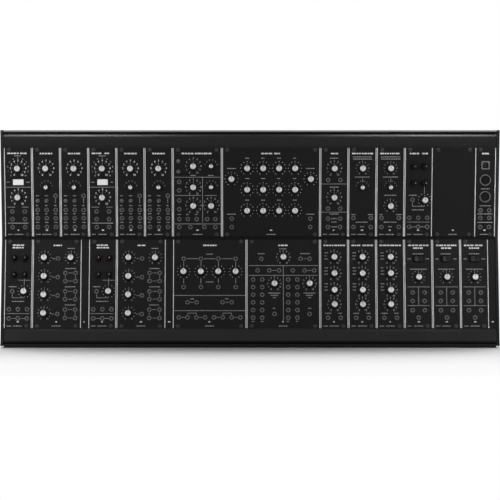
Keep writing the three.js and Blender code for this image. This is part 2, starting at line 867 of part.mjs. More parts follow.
// A panel rocker lies across the panel and pivots half way into it, tipped to one side
function placedRocker(name, kind, [x, z]) {
  const white = kind === 'driver';
  const geometry = white ? whiteRockerGeometry : blackRockerGeometry;
  const mesh = placedControl(name, geometry, white ? finishes.whiteSwitch : finishes.blackSwitch, [x, z]);
  mesh.position.y = rooted;
  mesh.rotation.set(0, Math.PI / 2, 0);
  mesh.rotateX(-rockerTilt);
  return mesh;
}

// One row of units from left to right; its lower edge is at `base` along the row's plane
function row(units, base) {
  const group = new THREE.Group();
  let left = -rowWidth / 2;
  for (const unit of units) {
    const centres = panelCentres(unit);
    const body = named(unit.node, geometryFrom(unitBody(unit)), finishes.blackPanel);
    body.position.set(left, 0, base);
    group.add(body);
    const controls = [...(unit.controls ?? [])];
    const rockers = [...(unit.rockers ?? [])];
    unit.kinds.forEach((kind, i) => {
      const shares = layoutShares[kind];
      const cell = kindPitches[kind] * pitch;
      const at = ([across, up]) => [left + centres[i] + across * cell, base + up * panelHeight];
      if (shares.turning) {
        group.add(placedControl(controls.shift(), knobGeometry, finishes.knob, at(shares.turning)));
      }
      if (shares.rocker) group.add(placedRocker(rockers.shift(), kind, at(shares.rocker)));
    });
    left += total(unitCells(unit));
  }
  return group;
}

// Assembly. Inside this group depth 0 is the line where the two rows' fronts meet.
const standing = new THREE.Group();

const upper = row(upperRow, rowGap / 2);
upper.position.z = middleHeight;
upper.rotation.x = rowLean;
upper.add(named('top_rail', geometryFrom(drawnOut(outerRailSection(1), rowWidth)), finishes.blackCase));

const lower = row(lowerRow, -rowGap / 2 - panelHeight);
lower.position.z = middleHeight;
lower.rotation.x = -rowLean;
lower.add(named('bottom_rail', geometryFrom(drawnOut(outerRailSection(-1), rowWidth)), finishes.blackCase));

const leftCheek = named('left_cheek', geometryFrom(cheek()), finishes.blackCase);
leftCheek.position.x = -rowWidth / 2 - seatGap - cheekThickness / 2;
const rightCheek = named('right_cheek', geometryFrom(cheek()), finishes.blackCase);
rightCheek.position.x = rowWidth / 2 + seatGap + cheekThickness / 2;

const powerSwitch = named('power_switch', rocker(powerRockerLength, powerRockerWidth), finishes.blackSwitch);
powerSwitch.position.set(switchCentre, backFace + seatGap, inletAboveTable);
powerSwitch.rotation.set(rockerTilt, 0, Math.PI);

standing.add(
  upper,
  lower,
  leftCheek,
  rightCheek,
  named('back_tray', geometryFrom(backTray()), finishes.blackCase),
  named('middle_rail', geometryFrom(drawnOut(middleRailSection(), rowWidth)), finishes.railMetal),
  named('power_bus_board', geometryFrom(busBoard()), finishes.greenBoard),
  named('power_inlet', geometryFrom(powerInlet()), finishes.inletPlastic),
  powerSwitch,
  named('rear_stand', geometryFrom(rearStand()), finishes.blackCase),
  named('stand_bracket', geometryFrom(standBracket()), finishes.blackCase),
  named('base_mat', geometryFrom(baseMat()), finishes.rubber),
);

// The whole is moved so that the origin lies in the middle of its depth
standing.updateMatrixWorld(true);
const reach = new THREE.Box3().setFromObject(standing, true);
standing.position.y = -(reach.min.y + reach.max.y) / 2;

const synthesizer = new THREE.Group();
synthesizer.add(standing);

export default synthesizer;
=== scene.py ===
"""Modular synthesizer: the pieces, finishes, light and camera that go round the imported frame."""

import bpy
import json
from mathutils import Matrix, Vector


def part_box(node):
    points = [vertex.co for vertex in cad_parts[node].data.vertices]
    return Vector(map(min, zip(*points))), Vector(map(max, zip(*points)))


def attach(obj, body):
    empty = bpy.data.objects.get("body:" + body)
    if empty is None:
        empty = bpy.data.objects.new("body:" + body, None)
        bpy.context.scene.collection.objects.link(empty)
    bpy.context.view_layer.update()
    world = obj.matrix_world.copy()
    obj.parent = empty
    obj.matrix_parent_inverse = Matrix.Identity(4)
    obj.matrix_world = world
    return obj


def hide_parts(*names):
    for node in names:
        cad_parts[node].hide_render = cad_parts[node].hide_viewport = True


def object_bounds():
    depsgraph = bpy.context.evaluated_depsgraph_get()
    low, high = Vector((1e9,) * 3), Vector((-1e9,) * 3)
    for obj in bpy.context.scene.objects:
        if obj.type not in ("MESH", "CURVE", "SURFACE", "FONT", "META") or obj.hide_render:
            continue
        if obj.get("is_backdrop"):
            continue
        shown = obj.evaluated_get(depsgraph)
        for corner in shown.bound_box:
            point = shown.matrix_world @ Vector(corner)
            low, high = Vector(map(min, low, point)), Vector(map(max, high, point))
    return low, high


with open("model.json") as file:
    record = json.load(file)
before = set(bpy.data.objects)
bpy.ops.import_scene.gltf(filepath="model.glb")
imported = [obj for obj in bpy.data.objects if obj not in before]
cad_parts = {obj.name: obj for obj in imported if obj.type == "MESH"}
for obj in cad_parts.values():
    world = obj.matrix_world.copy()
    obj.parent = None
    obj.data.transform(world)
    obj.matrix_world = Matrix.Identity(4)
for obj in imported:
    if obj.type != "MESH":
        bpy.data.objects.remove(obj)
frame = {"record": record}

import inspect
import json
import math
import random

import bmesh
import bpy
from bpy.props import FloatProperty, FloatVectorProperty, PointerProperty
from mathutils import Matrix, Vector
from mathutils.geometry import tessellate_polygon

bl_info = {
    "name": "Modular Synthesizer",
    "version": (1, 0, 0),
    "blender": (4, 5, 0),
    "location": "View3D > Sidebar > Synthesizer",
    "description": "Builds a two-row modular synthesizer with turning knobs and rocker switches",
    "category": "Object",
}

MM = 0.001
QUARTER_TURN = math.pi / 2
CAD_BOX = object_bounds()
CASE = "case"
SHARP_ANGLE = math.radians(35)      # between faces, from which an edge is shaded sharp
PRINTING_SEED = 31
SCREWS_SEED = 7


def grid(columns, rows):
    return [(across, up) for up in rows for across in columns]


def twin_grid(offset, places):
    return [(across + shift, up) for across, up in places for shift in (0, offset)]


# The kinds of modules: how wide they are and where their controls and printing stand. Places are shares
# of the panel: across from its centre line, and up from its lower edge. Titles and labels are plain bars
# where the panel is lettered, [across, up, width], and lines run from one place to another. Dials give the
# height of the numbers as a share of the usual one, or none for dots, their distance from the knob's skirt
# in millimetres, and the numbers that a line or label leaves no room for.
PASS = {
    "pitches": 8,
    "turning": [(0, 0.772)],
    "selectors": [(0, 0.557)],
    "jacks": grid((-0.31, 0.31), (0.21, 0.108)),
    "dials": (0.8, 2.9, ()),
    "titles": [(-0.22, 0.936, 0.31), (0.17, 0.936, 0.4)],
    "labels": [
        (0, 0.898, 0.68), (0, 0.874, 0.68), (0, 0.672, 0.53), (-0.31, 0.249, 0.14), (0.31, 0.249, 0.2),
        (0, 0.163, 0.45), (0, 0.112, 0.13),
    ],
    "lines": [(0.01, 0.655, 0.01, 0.614)],
}
KINDS = {
    "driver": {
        "pitches": 8,
        "turning": [(0, 0.77)],
        "knobs": [(0, 0.445)],
        "rocker": [(0, 0.614)],
        "jacks": grid((-0.223, 0.223), (0.284, 0.197, 0.107)),
        "dials": (1.2, 4.6, ()),
        "titles": [(-0.17, 0.938, 0.41), (0.2, 0.938, 0.23)],
        "labels": [(0, 0.91, 0.25), (-0.35, 0.614, 0.11), (0.35, 0.614, 0.11), (0, 0.152, 0.766)],
        "lines": [(-0.435, 0.558, 0.435, 0.558), (-0.4, 0.333, -0.13, 0.333), (0.12, 0.333, 0.35, 0.333)],
    },
    "oscillator": {
        "pitches": 8,
        "turning": [(0, 0.77)],
        "selectors": [(0, 0.558)],
        "toggles": [(-0.32, 0.405), (0, 0.405)],
        "jacks": [(0.32, 0.461)] + grid((-0.32, 0, 0.32), (0.301, 0.207, 0.108)),
        "dials": (1.15, 4.6, ()),
        "titles": [(0, 0.936, 0.445)],
        "labels": grid((-0.325, 0, 0.325), (0.351, 0.258, 0.16)) + [(-0.325, 0.461), (0, 0.461)],
        "lines": [(0.32, 0.44, 0.32, 0.38)],
    },
    "wave": {
        "pitches": 14,
        "turning": [(-0.08, 0.795)],
        "knobs": [(-0.08, 0.559), (-0.08, 0.351), (0.282, 0.351)],
        "selectors": [(0.282, 0.795), (0.282, 0.559)],
        "toggles": [(-0.385, 0.85), (-0.385, 0.734)],
        "jacks": grid((-0.37,), (0.617, 0.521, 0.408, 0.309))
        + grid((-0.37, -0.195, -0.016, 0.197, 0.365), (0.197,))
        + grid((-0.37, -0.144, 0.14, 0.365), (0.107,)),
        "dials": (1.15, 4.6, ()),
        "titles": [(-0.2, 0.936, 0.24), (0.13, 0.936, 0.36)],
        "labels": grid((-0.37, -0.195, -0.016), (0.25,)) + [(-0.08, 0.69, 0.12), (0.28, 0.69, 0.12)],
        "lines": [
            (-0.462, 0.67, 0.462, 0.67), (-0.458, 0.464, 0.071, 0.464), (0.153, 0.464, 0.397, 0.464),
            (-0.462, 0.143, 0.462, 0.143), (0.106, 0.67, 0.106, 0.157),
        ],
    },
    "filter_bank": {
        "pitches": 28,
        "turning": [(-0.402, 0.652)],
        "knobs": [(0.402, 0.652)] + grid((-0.243, -0.081, 0.081, 0.243), (0.772, 0.533, 0.297)),
        "jacks": grid((-0.4, 0.4), (0.203, 0.108)),
        "dials": (0, 3, ()),
        "titles": [(-0.045, 0.936, 0.11), (0.06, 0.936, 0.06)],
        "labels": [(x, up, 0.04) for x, up in grid((-0.243, -0.081, 0.081, 0.243), (0.884, 0.655, 0.412))]
        + [(-0.402, 0.769, 0.09), (0.402, 0.769, 0.09), (-0.402, 0.253, 0.087), (0.402, 0.253, 0.087)],
    },
    "noise": {
        "pitches": 8,
        "turning": [(0, 0.77)],
        "knobs": [(0, 0.445)],
        "jacks": grid((-0.217, 0.217), (0.638, 0.317, 0.202, 0.108)),
        "dials": (1.15, 4.2, ()),
        "titles": [(0.011, 0.936, 0.264)],
        "labels": [(0, up, 0.32) for up in (0.884, 0.558, 0.255)]
        + [(0, up, 0.2) for up in (0.203, 0.165, 0.11)],
        "lines": [(-0.46, up, 0.46, up) for up in (0.594, 0.276)],
    },
    "lowpass": PASS,
    "highpass": {
        **PASS,
        "knobs": [(0, 0.348)],
        "labels": PASS["labels"] + [(0, 0.467, 0.42)],
    },
    "utility": {
        "pitches": 8,
        "turning": [(0.22, 0.415)],
        "small_knobs": grid((-0.17, 0.21), (0.79, 0.602)),
        "jacks": [(-0.21, 0.415)] + grid((-0.322, 0, 0.322), (0.213, 0.11)),
        "dials": (0, 2.6, (5,)),
        "titles": [(0, 0.936, 0.44), (0, 0.908, 0.44)],
        "labels": [(-0.2, 0.467, 0.28), (0, 0.302, 0.45)],
        "lines": [
            (0.21, 0.563, 0.21, 0.48), (0, 0.54, 0.42, 0.54), (-0.21, 0.385, -0.21, 0.342),
            (-0.21, 0.342, 0.21, 0.342), (0.21, 0.342, 0.21, 0.36), (-0.4, 0.164, 0.4, 0.164),
            (-0.24, 0.11, -0.08, 0.11), (0.08, 0.11, 0.24, 0.11),
        ],
    },
    "blank": {"pitches": 12},
    "midi": {
        "pitches": 6,
        "port": [(0, 0.804)],
        "dins": [(0, 0.638), (0, 0.45)],
        "jacks": grid((-0.21, 0.21), (0.297, 0.211, 0.108)),
        "titles": [(0.02, 0.936, 0.4)],
        "labels": [(0.01, 0.539, 0.43), (0.01, 0.348, 0.52), (0.01, 0.256, 0.71), (0.01, 0.161, 0.71)],
    },
    "mixer": {
        "pitches": 14,
        "turning": [(0.285, 0.795)],
        "knobs": grid((-0.255,), (0.795, 0.585, 0.378, 0.17)),
        "jacks": grid((0.015,), (0.785, 0.575, 0.368, 0.16))
        + grid((0.168, 0.376), (0.623, 0.531, 0.415, 0.326, 0.21, 0.115)),
        "dials": (0.8, 2.9, ()),
        "titles": [(0.007, 0.934, 0.173)],
        "labels": [(0.285, 0.9, 0.163)] + [(0.272, up, 0.214) for up in (0.672, 0.466, 0.261)],
        "lines": [(-0.1, up, -0.045, up) for up in (0.785, 0.575, 0.368, 0.16)]
        + [(0.23, up, 0.315, up) for up in (0.623, 0.531, 0.415, 0.326, 0.21, 0.115)]
        + [(x, up, x, up - 0.03) for x in (0.168, 0.376) for up in (0.593, 0.386, 0.178)],
    },
    "strip": {"pitches": 2},
    "voltage": {
        "pitches": 21,
        "turning": [(-0.353, 0.637)],
        "knobs": grid((-0.118, 0.118, 0.353), (0.637,)),
        "jacks": grid((-0.353, -0.118, 0.118, 0.353), (0.783, 0.463))
        + grid((-0.3, -0.175, 0.175, 0.3), (0.292,))
        + grid((-0.417, -0.298, -0.179, -0.06, 0.06, 0.179, 0.298, 0.417), (0.122,)),
        "dials": (0, 2.6, (5,)),
        "titles": [(0.003, 0.934, 0.187)],
        "labels": [(0, 0.835, 0.085), (0, 0.52, 0.1), (-0.238, 0.33, 0.05), (0.238, 0.33, 0.05)],
        "lines": [(x, 0.783, x + 0.15, 0.783) for x in (-0.31, -0.075, 0.16)]
        + [(x, up, x, up - 0.055) for x in (-0.353, -0.118, 0.118, 0.353) for up in (0.752, 0.56)]
        + [(-0.485, up, 0.485, up) for up in (0.369, 0.198)]
        + [(x, 0.292, x + 0.04, 0.292) for x in (-0.258, 0.218)]
        + [(x, 0.122, x + 0.045, 0.122) for x in (-0.38, -0.142, 0.097, 0.335)]
        + [(x, 0.17, x + 0.119, 0.17) for x in (-0.298, 0.179)]
        + [(x, 0.17, x, 0.153) for x in (-0.298, -0.179, 0.179, 0.298)],
    },
    "trigger": {
        "pitches": 21,
        "turning": [(0, 0.8)],
        "knobs": [(-0.121, 0.502), (0.355, 0.502)],
        "jacks": grid((-0.299, 0.235, 0.359), (0.783,))
        + twin_grid(0.476, [(-0.348, 0.651), (-0.189, 0.651), (-0.056, 0.651), (-0.121, 0.161)])
        + twin_grid(0.476, grid((-0.41, -0.287), (0.548, 0.463, 0.378, 0.291, 0.205, 0.12))),
        "dials": (1.05, 3.2, ()),
        "titles": [(0, 0.934, 0.136)],
        "labels": [(0, 0.895, 0.11), (-0.299, 0.84, 0.09), (0.297, 0.84, 0.13)]
        + twin_grid(0.476, [(-0.41, 0.077), (-0.287, 0.077), (-0.121, 0.223)])
        + [(x, up, wide) for x in (-0.121, 0.355)
           for up, wide in ((0.395, 0.16), (0.37, 0.1), (0.345, 0.04))],
        "lines": [(-0.47, up, 0.47, up) for up in (0.705, 0.595)]
        + [(0, 0.705, 0, 0.071), (0.275, 0.783, 0.32, 0.783), (-0.15, 0.651, -0.095, 0.651)]
        + [(0.326, 0.651, 0.381, 0.651)],
    },
    "envelope": {
        "pitches": 8,
        "turning": [(0, 0.8)],
        "knobs": grid((0,), (0.616, 0.43, 0.268)),
        "jacks": grid((-0.224, 0.224), (0.118,)),
        "dials": (1.05, 3.2, (1, 2, 3)),
        "titles": [(-0.2, 0.934, 0.36), (0.2, 0.934, 0.38)],
        "labels": [(-0.28, top - drop, 0.12) for top in (0.85, 0.68, 0.5) for drop in (0, 0.035, 0.07)]
        + [(-0.22, 0.168, 0.22), (0.21, 0.168, 0.15)],
    },
    "amplifier": {
        "pitches": 8,
        "rocker": [(0, 0.781)],
        "knobs": [(0, 0.576)],
        "jacks": grid((-0.214, 0.214), (0.402, 0.307, 0.202)) + [(0, 0.12)],
        "dials": (0.8, 2.9, ()),
        "titles": [(-0.18, 0.934, 0.36), (0.2, 0.934, 0.34), (0, 0.903, 0.36)],
        "labels": [(0, 0.838, 0.39), (-0.32, 0.781, 0.12), (0.32, 0.781, 0.12), (0, 0.665, 0.6)],
        "lines": [(-0.4, 0.465, 0.4, 0.465), (0, 0.465, 0, 0.254), (-0.4, 0.254, 0.4, 0.254)],
    },
}

# What one unit has otherwise than its kind
UNIT_PRINT = {
    "utility_module_1": {
        "titles": [(-0.12, 0.936, 0.4), (0.22, 0.936, 0.2)],
        "lines": [line for line in KINDS["utility"]["lines"] if line[1] != 0.54],
    },
}

# The rows from left to right, the upper (1) and the lower (-1) one. The panels of one unit share a
# board and are one piece on the bench.
BANK = ("driver", "oscillator", "oscillator")
ROWS = {
    1: (BANK, BANK, ("wave",), ("filter_bank",), ("noise",), ("lowpass",), ("highpass",), ("utility",),
        ("blank",), ("midi",)),
    -1: (("utility",), ("mixer", "strip"), ("utility",), ("mixer", "strip"), ("voltage",), ("trigger",),
         *[("envelope",)] * 3, *[("amplifier",)] * 2, ("amplifier", "strip")),
}
UNIT_NAMES = {"driver": "oscillator_bank", "blank": "blank_panel"}

# The finishes of some kinds of pieces, in the order of their slots
KNOB_FINISHES = ("black_plastic", "silver_cap", "panel_ink")
SOCKET_FINISHES = ("nickel_plate", "black_plastic", "brass_pin")
BOARD_FINISHES = ("board_green", "black_plastic", "nickel_plate", "brass_pin")
PALE, FINE = 0, 1       # the slots of the two inks


def length(name, millimetres, description):
    return FloatProperty(
        name=name, description=description, default=millimetres * MM, min=0.0, unit="LENGTH", precision=4)


def colour(name, default, description):
    return FloatVectorProperty(
        name=name, description=description, default=default, min=0.0, max=1.0, size=3, subtype="COLOR")


class SynthRackSizes(bpy.types.PropertyGroup):
    """Sizes of the rack rows, the panels and what lies behind them."""

    pitch: length("Pitch", 5.08, "Width that one rack unit takes")
    panel_height: length("Panel height", 128.5, "Height of every panel")
    panel_thickness: length("Panel thickness", 2, "Thickness of the panel sheet")
    panel_gap: length("Panel gap", 0.4, "Gap between neighbouring panels")
    panel_corner: length("Panel corner", 0.5, "Radius of the panel's corners")
    panel_chamfer: length("Panel chamfer", 0.25, "Broken edge round the panel's front")
    row_gap: length("Row gap", 4.4, "Gap between the two rows")
    row_lean: FloatProperty(
        name="Row lean", description="How far each row leans towards the middle",
        default=math.radians(5), subtype="ANGLE")
    screw_radius: length("Screw radius", 2.8, "Radius of a panel screw's head")
    screw_height: length("Screw height", 1.4, "Height of a panel screw's head")
    screw_inset: length("Screw inset", 7.5, "Distance of the screws from the panel's side")
    screw_drop: length("Screw drop", 3, "Distance of the screws from the panel's edge")
    board_depth: length("Board depth", 13, "How far the circuit board lies behind the panel's front")
    board_thickness: length("Board thickness", 1.6, "Thickness of the circuit boards")
    board_margin: length("Board margin", 3, "Distance of the board from the panel's side")
    edge_bar: length("Edge bar", 0.95, "Width of the pale bar along each side of a panel")
    print_height: length("Print height", 0.05, "How far the printing stands on the panel")
    title_height: length("Title height", 2, "Height of the title bars")
    label_height: length("Label height", 1.1, "Height of the label bars")
    line_width: length("Line width", 0.6, "Width of the printed lines")
    mark_height: length("Mark height", 9.3, "Height of the small foot mark over the panel's lower edge")
    foot_height: length("Foot height", 3.2, "Height of the foot bars over the panel's lower edge")
    number_height: length("Number height", 2.2, "Height of the numbers round a dial")


class SynthControlSizes(bpy.types.PropertyGroup):
    """Sizes of the knobs, switches and sockets."""

    knob_height: length("Knob height", 9.6, "Height of a knob over the panel")
    knob_skirt: length("Knob skirt", 6.5, "Radius of a knob's skirt")
    knob_body: length("Knob body", 4.9, "Radius of a knob's body over the skirt")
    knob_cap: length("Knob cap", 4, "Radius of a knob's silver cap")
    knob_standoff: length("Knob standoff", 0.6, "Gap between the knob and the panel")
    shaft_radius: length("Shaft radius", 2.5, "Radius of the shaft that a knob turns on")
    shaft_length: length("Shaft length", 6, "How far the shaft stands over the panel")
    selector_foot: length("Selector foot", 4.6, "Radius of a selector's skirt")
    selector_cap: length("Selector cap", 2.75, "Radius of a selector's cap")
    small_height: length("Small knob height", 8, "Height of the selectors and small knobs")
    small_foot: length("Small knob foot", 4.6, "Radius of a small coloured knob")
    rocker_rise: length("Rocker rise", 3.2, "How far a rocker's ends stand over its pivot")
    rocker_dip: length("Rocker dip", 0.8, "How far a rocker's middle lies below its ends")
    rocker_drop: length("Rocker drop", 3, "How far a rocker reaches behind its pivot")
    rocker_clearance: length("Rocker clearance", 0.5, "Gap round a rocker in its window")
    white_length: length("White rocker length", 15, "Length of a white rocker")
    white_width: length("White rocker width", 8, "Width of a white rocker")
    black_length: length("Black rocker length", 13, "Length of a black rocker")
    black_width: length("Black rocker width", 7.2, "Width of a black rocker")
    rocker_tilt: FloatProperty(
        name="Rocker tilt", description="How far a rocker lies tipped at rest",
        default=math.radians(7), subtype="ANGLE")
    nut_radius: length("Nut radius", 3.3, "Radius of a jack socket's ring nut")
    nut_height: length("Nut height", 1.4, "Height of a jack socket's ring nut")
    jack_bore: length("Jack bore", 1.75, "Radius of the hole for a plug")
    jack_depth: length("Jack depth", 9, "Depth of the hole for a plug")
    toggle_radius: length("Toggle radius", 1.5, "Radius of a toggle's tip")
    toggle_length: length("Toggle length", 7, "Length of a toggle over the panel")
    din_radius: length("Round socket radius", 8.1, "Outer radius of a round five-pin socket")
    din_insert: length("Round socket insert", 6.6, "Radius of the insert that holds the pin holes")
    din_rise: length("Round socket rise", 1.2, "How far the round socket's rim stands out")
    port_size: length("Port size", 12, "Width of the square data port's shell")
    port_mouth: length("Port mouth", 8.5, "Width of the square data port's mouth")
    port_depth: length("Port depth", 10, "Depth of the square data port")


class SynthCaseSizes(bpy.types.PropertyGroup):
    """Sizes of the case, its rails, the stand and the power parts."""

    wall: length("Wall", 2.8, "Thickness of the case's sheet")
    bend: length("Bend", 4, "Outer radius of the bends in the case")
    cheek_lip: length("Cheek lip", 1, "How far the cheeks stand in front of the panels")
    cheek_chamfer: length("Cheek chamfer", 0.6, "Broken edge of the cheeks")
    cheek_screw: length("Cheek screw", 3.2, "Radius of the screw heads in the cheeks")
    lip_height: length("Lip height", 19.8, "Height of the front lip over and under the rows")
    lip_gap: length("Lip gap", 2.4, "Gap between a panel's edge and the lip")
    lip_radius: length("Upper lip radius", 14, "Radius of the rounded fold of the upper lip")
    fold_height: length("Upper fold height", 9.6, "Height of the folded edge of the upper lip")
    lower_radius: length("Lower lip radius", 5, "Radius of the rounded fold of the lower lip")
    lower_fold: length("Lower fold height", 4.6, "Height of the folded edge of the lower lip")
    seat_gap: length("Seat gap", 0.3, "Gap between pieces that rest on each other")
    rail_wall: length("Rail wall", 2, "Wall of the rails")
    rail_depth: length("Rail depth", 12, "Depth of the rails")
    rail_reach: length("Rail reach", 10.4, "How far the rails reach behind the panels")
    slot_width: length("Slot width", 3, "Width of the screw channel")
    slot_depth: length("Slot depth", 5, "Depth of the screw channel")
    vent_length: length("Vent length", 60, "Length of a ventilation slot")
    vent_width: length("Vent width", 3, "Width of a ventilation slot")
    vent_pitch: length("Vent pitch", 9, "Distance between ventilation slots")
    vent_from_middle: length("Vents from the middle", 268, "Distance of the vents from the middle")
    vent_above_middle: length("Vents over the middle", 95, "Height of the top vent over the rows' seam")
    stand_bar: length("Stand bar", 12, "Width of the stand's bar")
    stand_bar_thickness: length("Stand thickness", 6, "Thickness of the stand's bar")
    stand_corner: length("Stand corner", 10, "Radius of the stand's corners")
    pin_radius: length("Pin radius", 3, "Radius of the stand's pins")
    pin_length: length("Pin length", 7, "How far the stand's pins stand out")
    ear_thickness: length("Ear thickness", 9, "Thickness of the ears that hold the stand")
    ear_height: length("Ear height", 20, "Height of the ears that hold the stand")
    flange: length("Inlet flange", 4, "Width of the flange round the power inlet")
    flange_thickness: length("Flange thickness", 2, "Thickness of the power inlet's flange")
    socket_width: length("Socket width", 24, "Width of the mains socket")
    socket_height: length("Socket height", 16.5, "Height of the mains socket")
    socket_depth: length("Socket depth", 16, "Depth of the mains socket")
    power_rocker_length: length("Power rocker length", 18, "Length of the power switch's rocker")
    power_rocker_width: length("Power rocker width", 12, "Width of the power switch's rocker")


class SynthColours(bpy.types.PropertyGroup):
    """Colours of the finishes."""

    case: colour("Case", (0.005, 0.005, 0.0052), "Satin black coat of the case")
    panel: colour("Panel", (0.003, 0.003, 0.0031), "Black panels")
    rail: colour("Rail", (0.004, 0.004, 0.0042), "Satin black rails and lips")
    ink: colour("Ink", (0.55, 0.56, 0.55), "Pale printing of the titles and edge bars")
    fine_ink: colour("Fine ink", (0.26, 0.265, 0.26), "Grey printing of the lines, labels and numbers")
    silver: colour("Silver", (0.42, 0.425, 0.42), "Caps of the knobs")
    black_plastic: colour("Black plastic", (0.0018, 0.0018, 0.002), "Knob skirts and socket bodies")
    white_plastic: colour("White plastic", (0.68, 0.68, 0.67), "White rockers")
    grey_plastic: colour("Grey plastic", (0.006, 0.006, 0.0062), "Dark grey rockers")
    red_plastic: colour("Red plastic", (0.007, 0.0018, 0.0022), "Small dark red knobs")
    blue_plastic: colour("Blue plastic", (0.0015, 0.003, 0.007), "Small dark blue knobs")
    nickel: colour("Nickel", (0.13, 0.13, 0.133), "Ring nuts and toggles")
    dark_steel: colour("Dark steel", (0.028, 0.028, 0.03), "Blackened screws")
    brass: colour("Brass", (0.6, 0.42, 0.18), "Contact pins")
    rubber: colour("Rubber", (0.012, 0.012, 0.012), "Base mat and sleeves")
    board: colour("Board", (0.01, 0.085, 0.03), "Circuit boards")


# Outlines are lists of (across, up) that run anticlockwise


def arc(across, up, radius, start, end, steps):
    """Points along a round arc, from one angle to another in degrees."""
    turns = [math.radians(start + (end - start) * i / steps) for i in range(steps + 1)]
    return [(across + radius * math.cos(turn), up + radius * math.sin(turn)) for turn in turns]


def disc(across, up, radius, sides=24):
    return arc(across, up, radius, 0, 360 * (sides - 1) / sides, sides - 1)


def tablet(across, up, width, height, corner, steps=4):
    """A rectangle with round corners."""
    half_width = width / 2 - corner
    half_height = height / 2 - corner
    points = []
    for quarter, (side, rise) in enumerate(((1, 1), (-1, 1), (-1, -1), (1, -1))):
        centre = (across + side * half_width, up + rise * half_height)
        points += arc(*centre, corner, 90 * quarter, 90 * (quarter + 1), steps)
    return points


def bar_between(start, end, width):
    """A thin rectangle from one point to another."""
    along = (Vector(end) - Vector(start)).normalized()
    side = Vector((along.y, -along.x)) * (width / 2)
    corners = (Vector(start) + side, Vector(end) + side, Vector(end) - side, Vector(start) - side)
    return [tuple(corner) for corner in corners]


def grown(points, by):
    """The outline moved outwards by a length, or inwards where it is negative."""
    if not by:
        return points
    shifted = []
    for i, point in enumerate(points):
        here = Vector(point)
        before = (here - Vector(points[i - 1])).normalized()
        after = (Vector(points[(i + 1) % len(points)]) - here).normalized()
        normal = Vector((before.y + after.y, -before.x - after.x)).normalized()
        stretch = max(normal.dot(Vector((after.y, -after.x))), 0.3)
        shifted.append(tuple(here + normal * (by / stretch)))
    return shifted


def linked(name, data):
    """A new object in the scene."""
    made = bpy.data.objects.new(name, data)
    bpy.context.scene.collection.objects.link(made)
    return made


class Piece:
    """A mesh in the making: closed parts are added one by one, each at a place of its own.

    In a part's own frame X runs across, Y back from the front that is seen, and Z up.
    """

    def __init__(self, name):
        self.name = name
        self.mesh = bmesh.new()

    def ring(self, points, place):
        return [self.mesh.verts.new(place @ Vector(point)) for point in points]

    def face(self, corners, slot):
        kept = list(dict.fromkeys(corners))
        if len(kept) > 2:
            self.mesh.faces.new(kept).material_index = slot

    def band(self, first, second, slot):
        """Walls between two closed rings with as many points, or from a ring to a single point."""
        count = max(len(first), len(second))
        for i in range(count):
            j = (i + 1) % count
            spans = ((first, i), (first, j), (second, j), (second, i))
            self.face([ring[k % len(ring)] for ring, k in spans], slot)

    def fill(self, rings, slot):
        """A flat face inside the first ring, with the other rings as holes."""
        corners = [corner for ring in rings for corner in ring]
        outlines = [[corner.co / MM for corner in ring] for ring in rings]
        for triangle in tessellate_polygon(outlines):
            self.face([corners[i] for i in triangle], slot)

    def slab(self, place, outline, front, back, holes=(), chamfer=0.0, slot=0, rear_chamfer=0.0):
        """A plate with holes, its edges broken by chamfers."""
        def level(depth, shrink):
            rims = [grown(outline, -shrink)] + [grown(hole, shrink) for hole in holes]
            return [self.ring([(x, depth, z) for x, z in rim], place) for rim in rims]
        levels = [level(front, chamfer)]
        if chamfer:
            levels.append(level(front + chamfer, 0.0))
        if rear_chamfer:
            levels.append(level(back - rear_chamfer, 0.0))
        levels.append(level(back, rear_chamfer))
        self.fill(levels[0], slot)
        self.fill(levels[-1], slot)
        for near, far in zip(levels, levels[1:]):
            for first, second in zip(near, far):
                self.band(first, second, slot)

    def turned(self, place, profile, sides=24, ripples=0):
        """A turned part about its Y axis. The profile lists (radius, depth) or more: (slot, ripple)."""
        profile = [(*stop, *(0, 0.0)[len(stop) - 2:]) for stop in profile]
        rings = []
        for radius, depth, _, ripple in profile:
            if radius == 0:
                rings.append(self.ring([(0, depth, 0)], place))
                continue
            points = []
            for i in range(sides):
                turn = 2 * math.pi * i / sides
                reach = radius - ripple * (0.5 - 0.5 * math.cos(ripples * turn))
                points.append((reach * math.sin(turn), depth, reach * math.cos(turn)))
            rings.append(self.ring(points, place))
        for first, second, stop in zip(rings, rings[1:], profile[1:]):
            self.band(first, second, stop[2])

    def drawn(self, place, section, start, end, slot=0, pierced=()):
        """A section of (depth, up) drawn out along X. Pierced sides hold holes from skin to skin."""
        near = self.ring([(start, depth, up) for depth, up in section], place)
        far = self.ring([(end, depth, up) for depth, up in section], place)
        self.fill([near], slot)
        self.fill([far], slot)
        sides, holes = pierced or ((), ())
        skins = []
        for i in range(len(section)):
            j = (i + 1) % len(section)
            corners = [near[i], near[j], far[j], far[i]]
            if i not in sides:
                self.face(corners, slot)
                continue
            depth = section[i][0]
            rings = [self.ring([(x, depth, z) for x, z in hole], place) for hole in holes]
            self.fill([corners] + rings, slot)
            skins.append(rings)
        if skins:
            for outside, inside in zip(*skins):
                self.band(outside, inside, slot)

    def added(self, place, points, faces, slot=0):
        """A ready list of points and faces."""
        corners = self.ring(points, place)
        for face in faces:
            self.face([corners[i] for i in face], slot)

    def finish(self, slot, *finishes, body=CASE, replaced=None):
        """The finished object, riding on its body."""
        bmesh.ops.recalc_face_normals(self.mesh, faces=self.mesh.faces)
        mesh = bpy.data.meshes.new(self.name)
        self.mesh.to_mesh(mesh)
        self.mesh.free()
        mesh.shade_smooth()
        mesh.set_sharp_from_angle(angle=SHARP_ANGLE)
        for name in finishes:
            mesh.materials.append(finish(name))
        piece = linked(self.name, mesh)
        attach(piece, body)
        if replaced:
            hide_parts(replaced)
        return piece


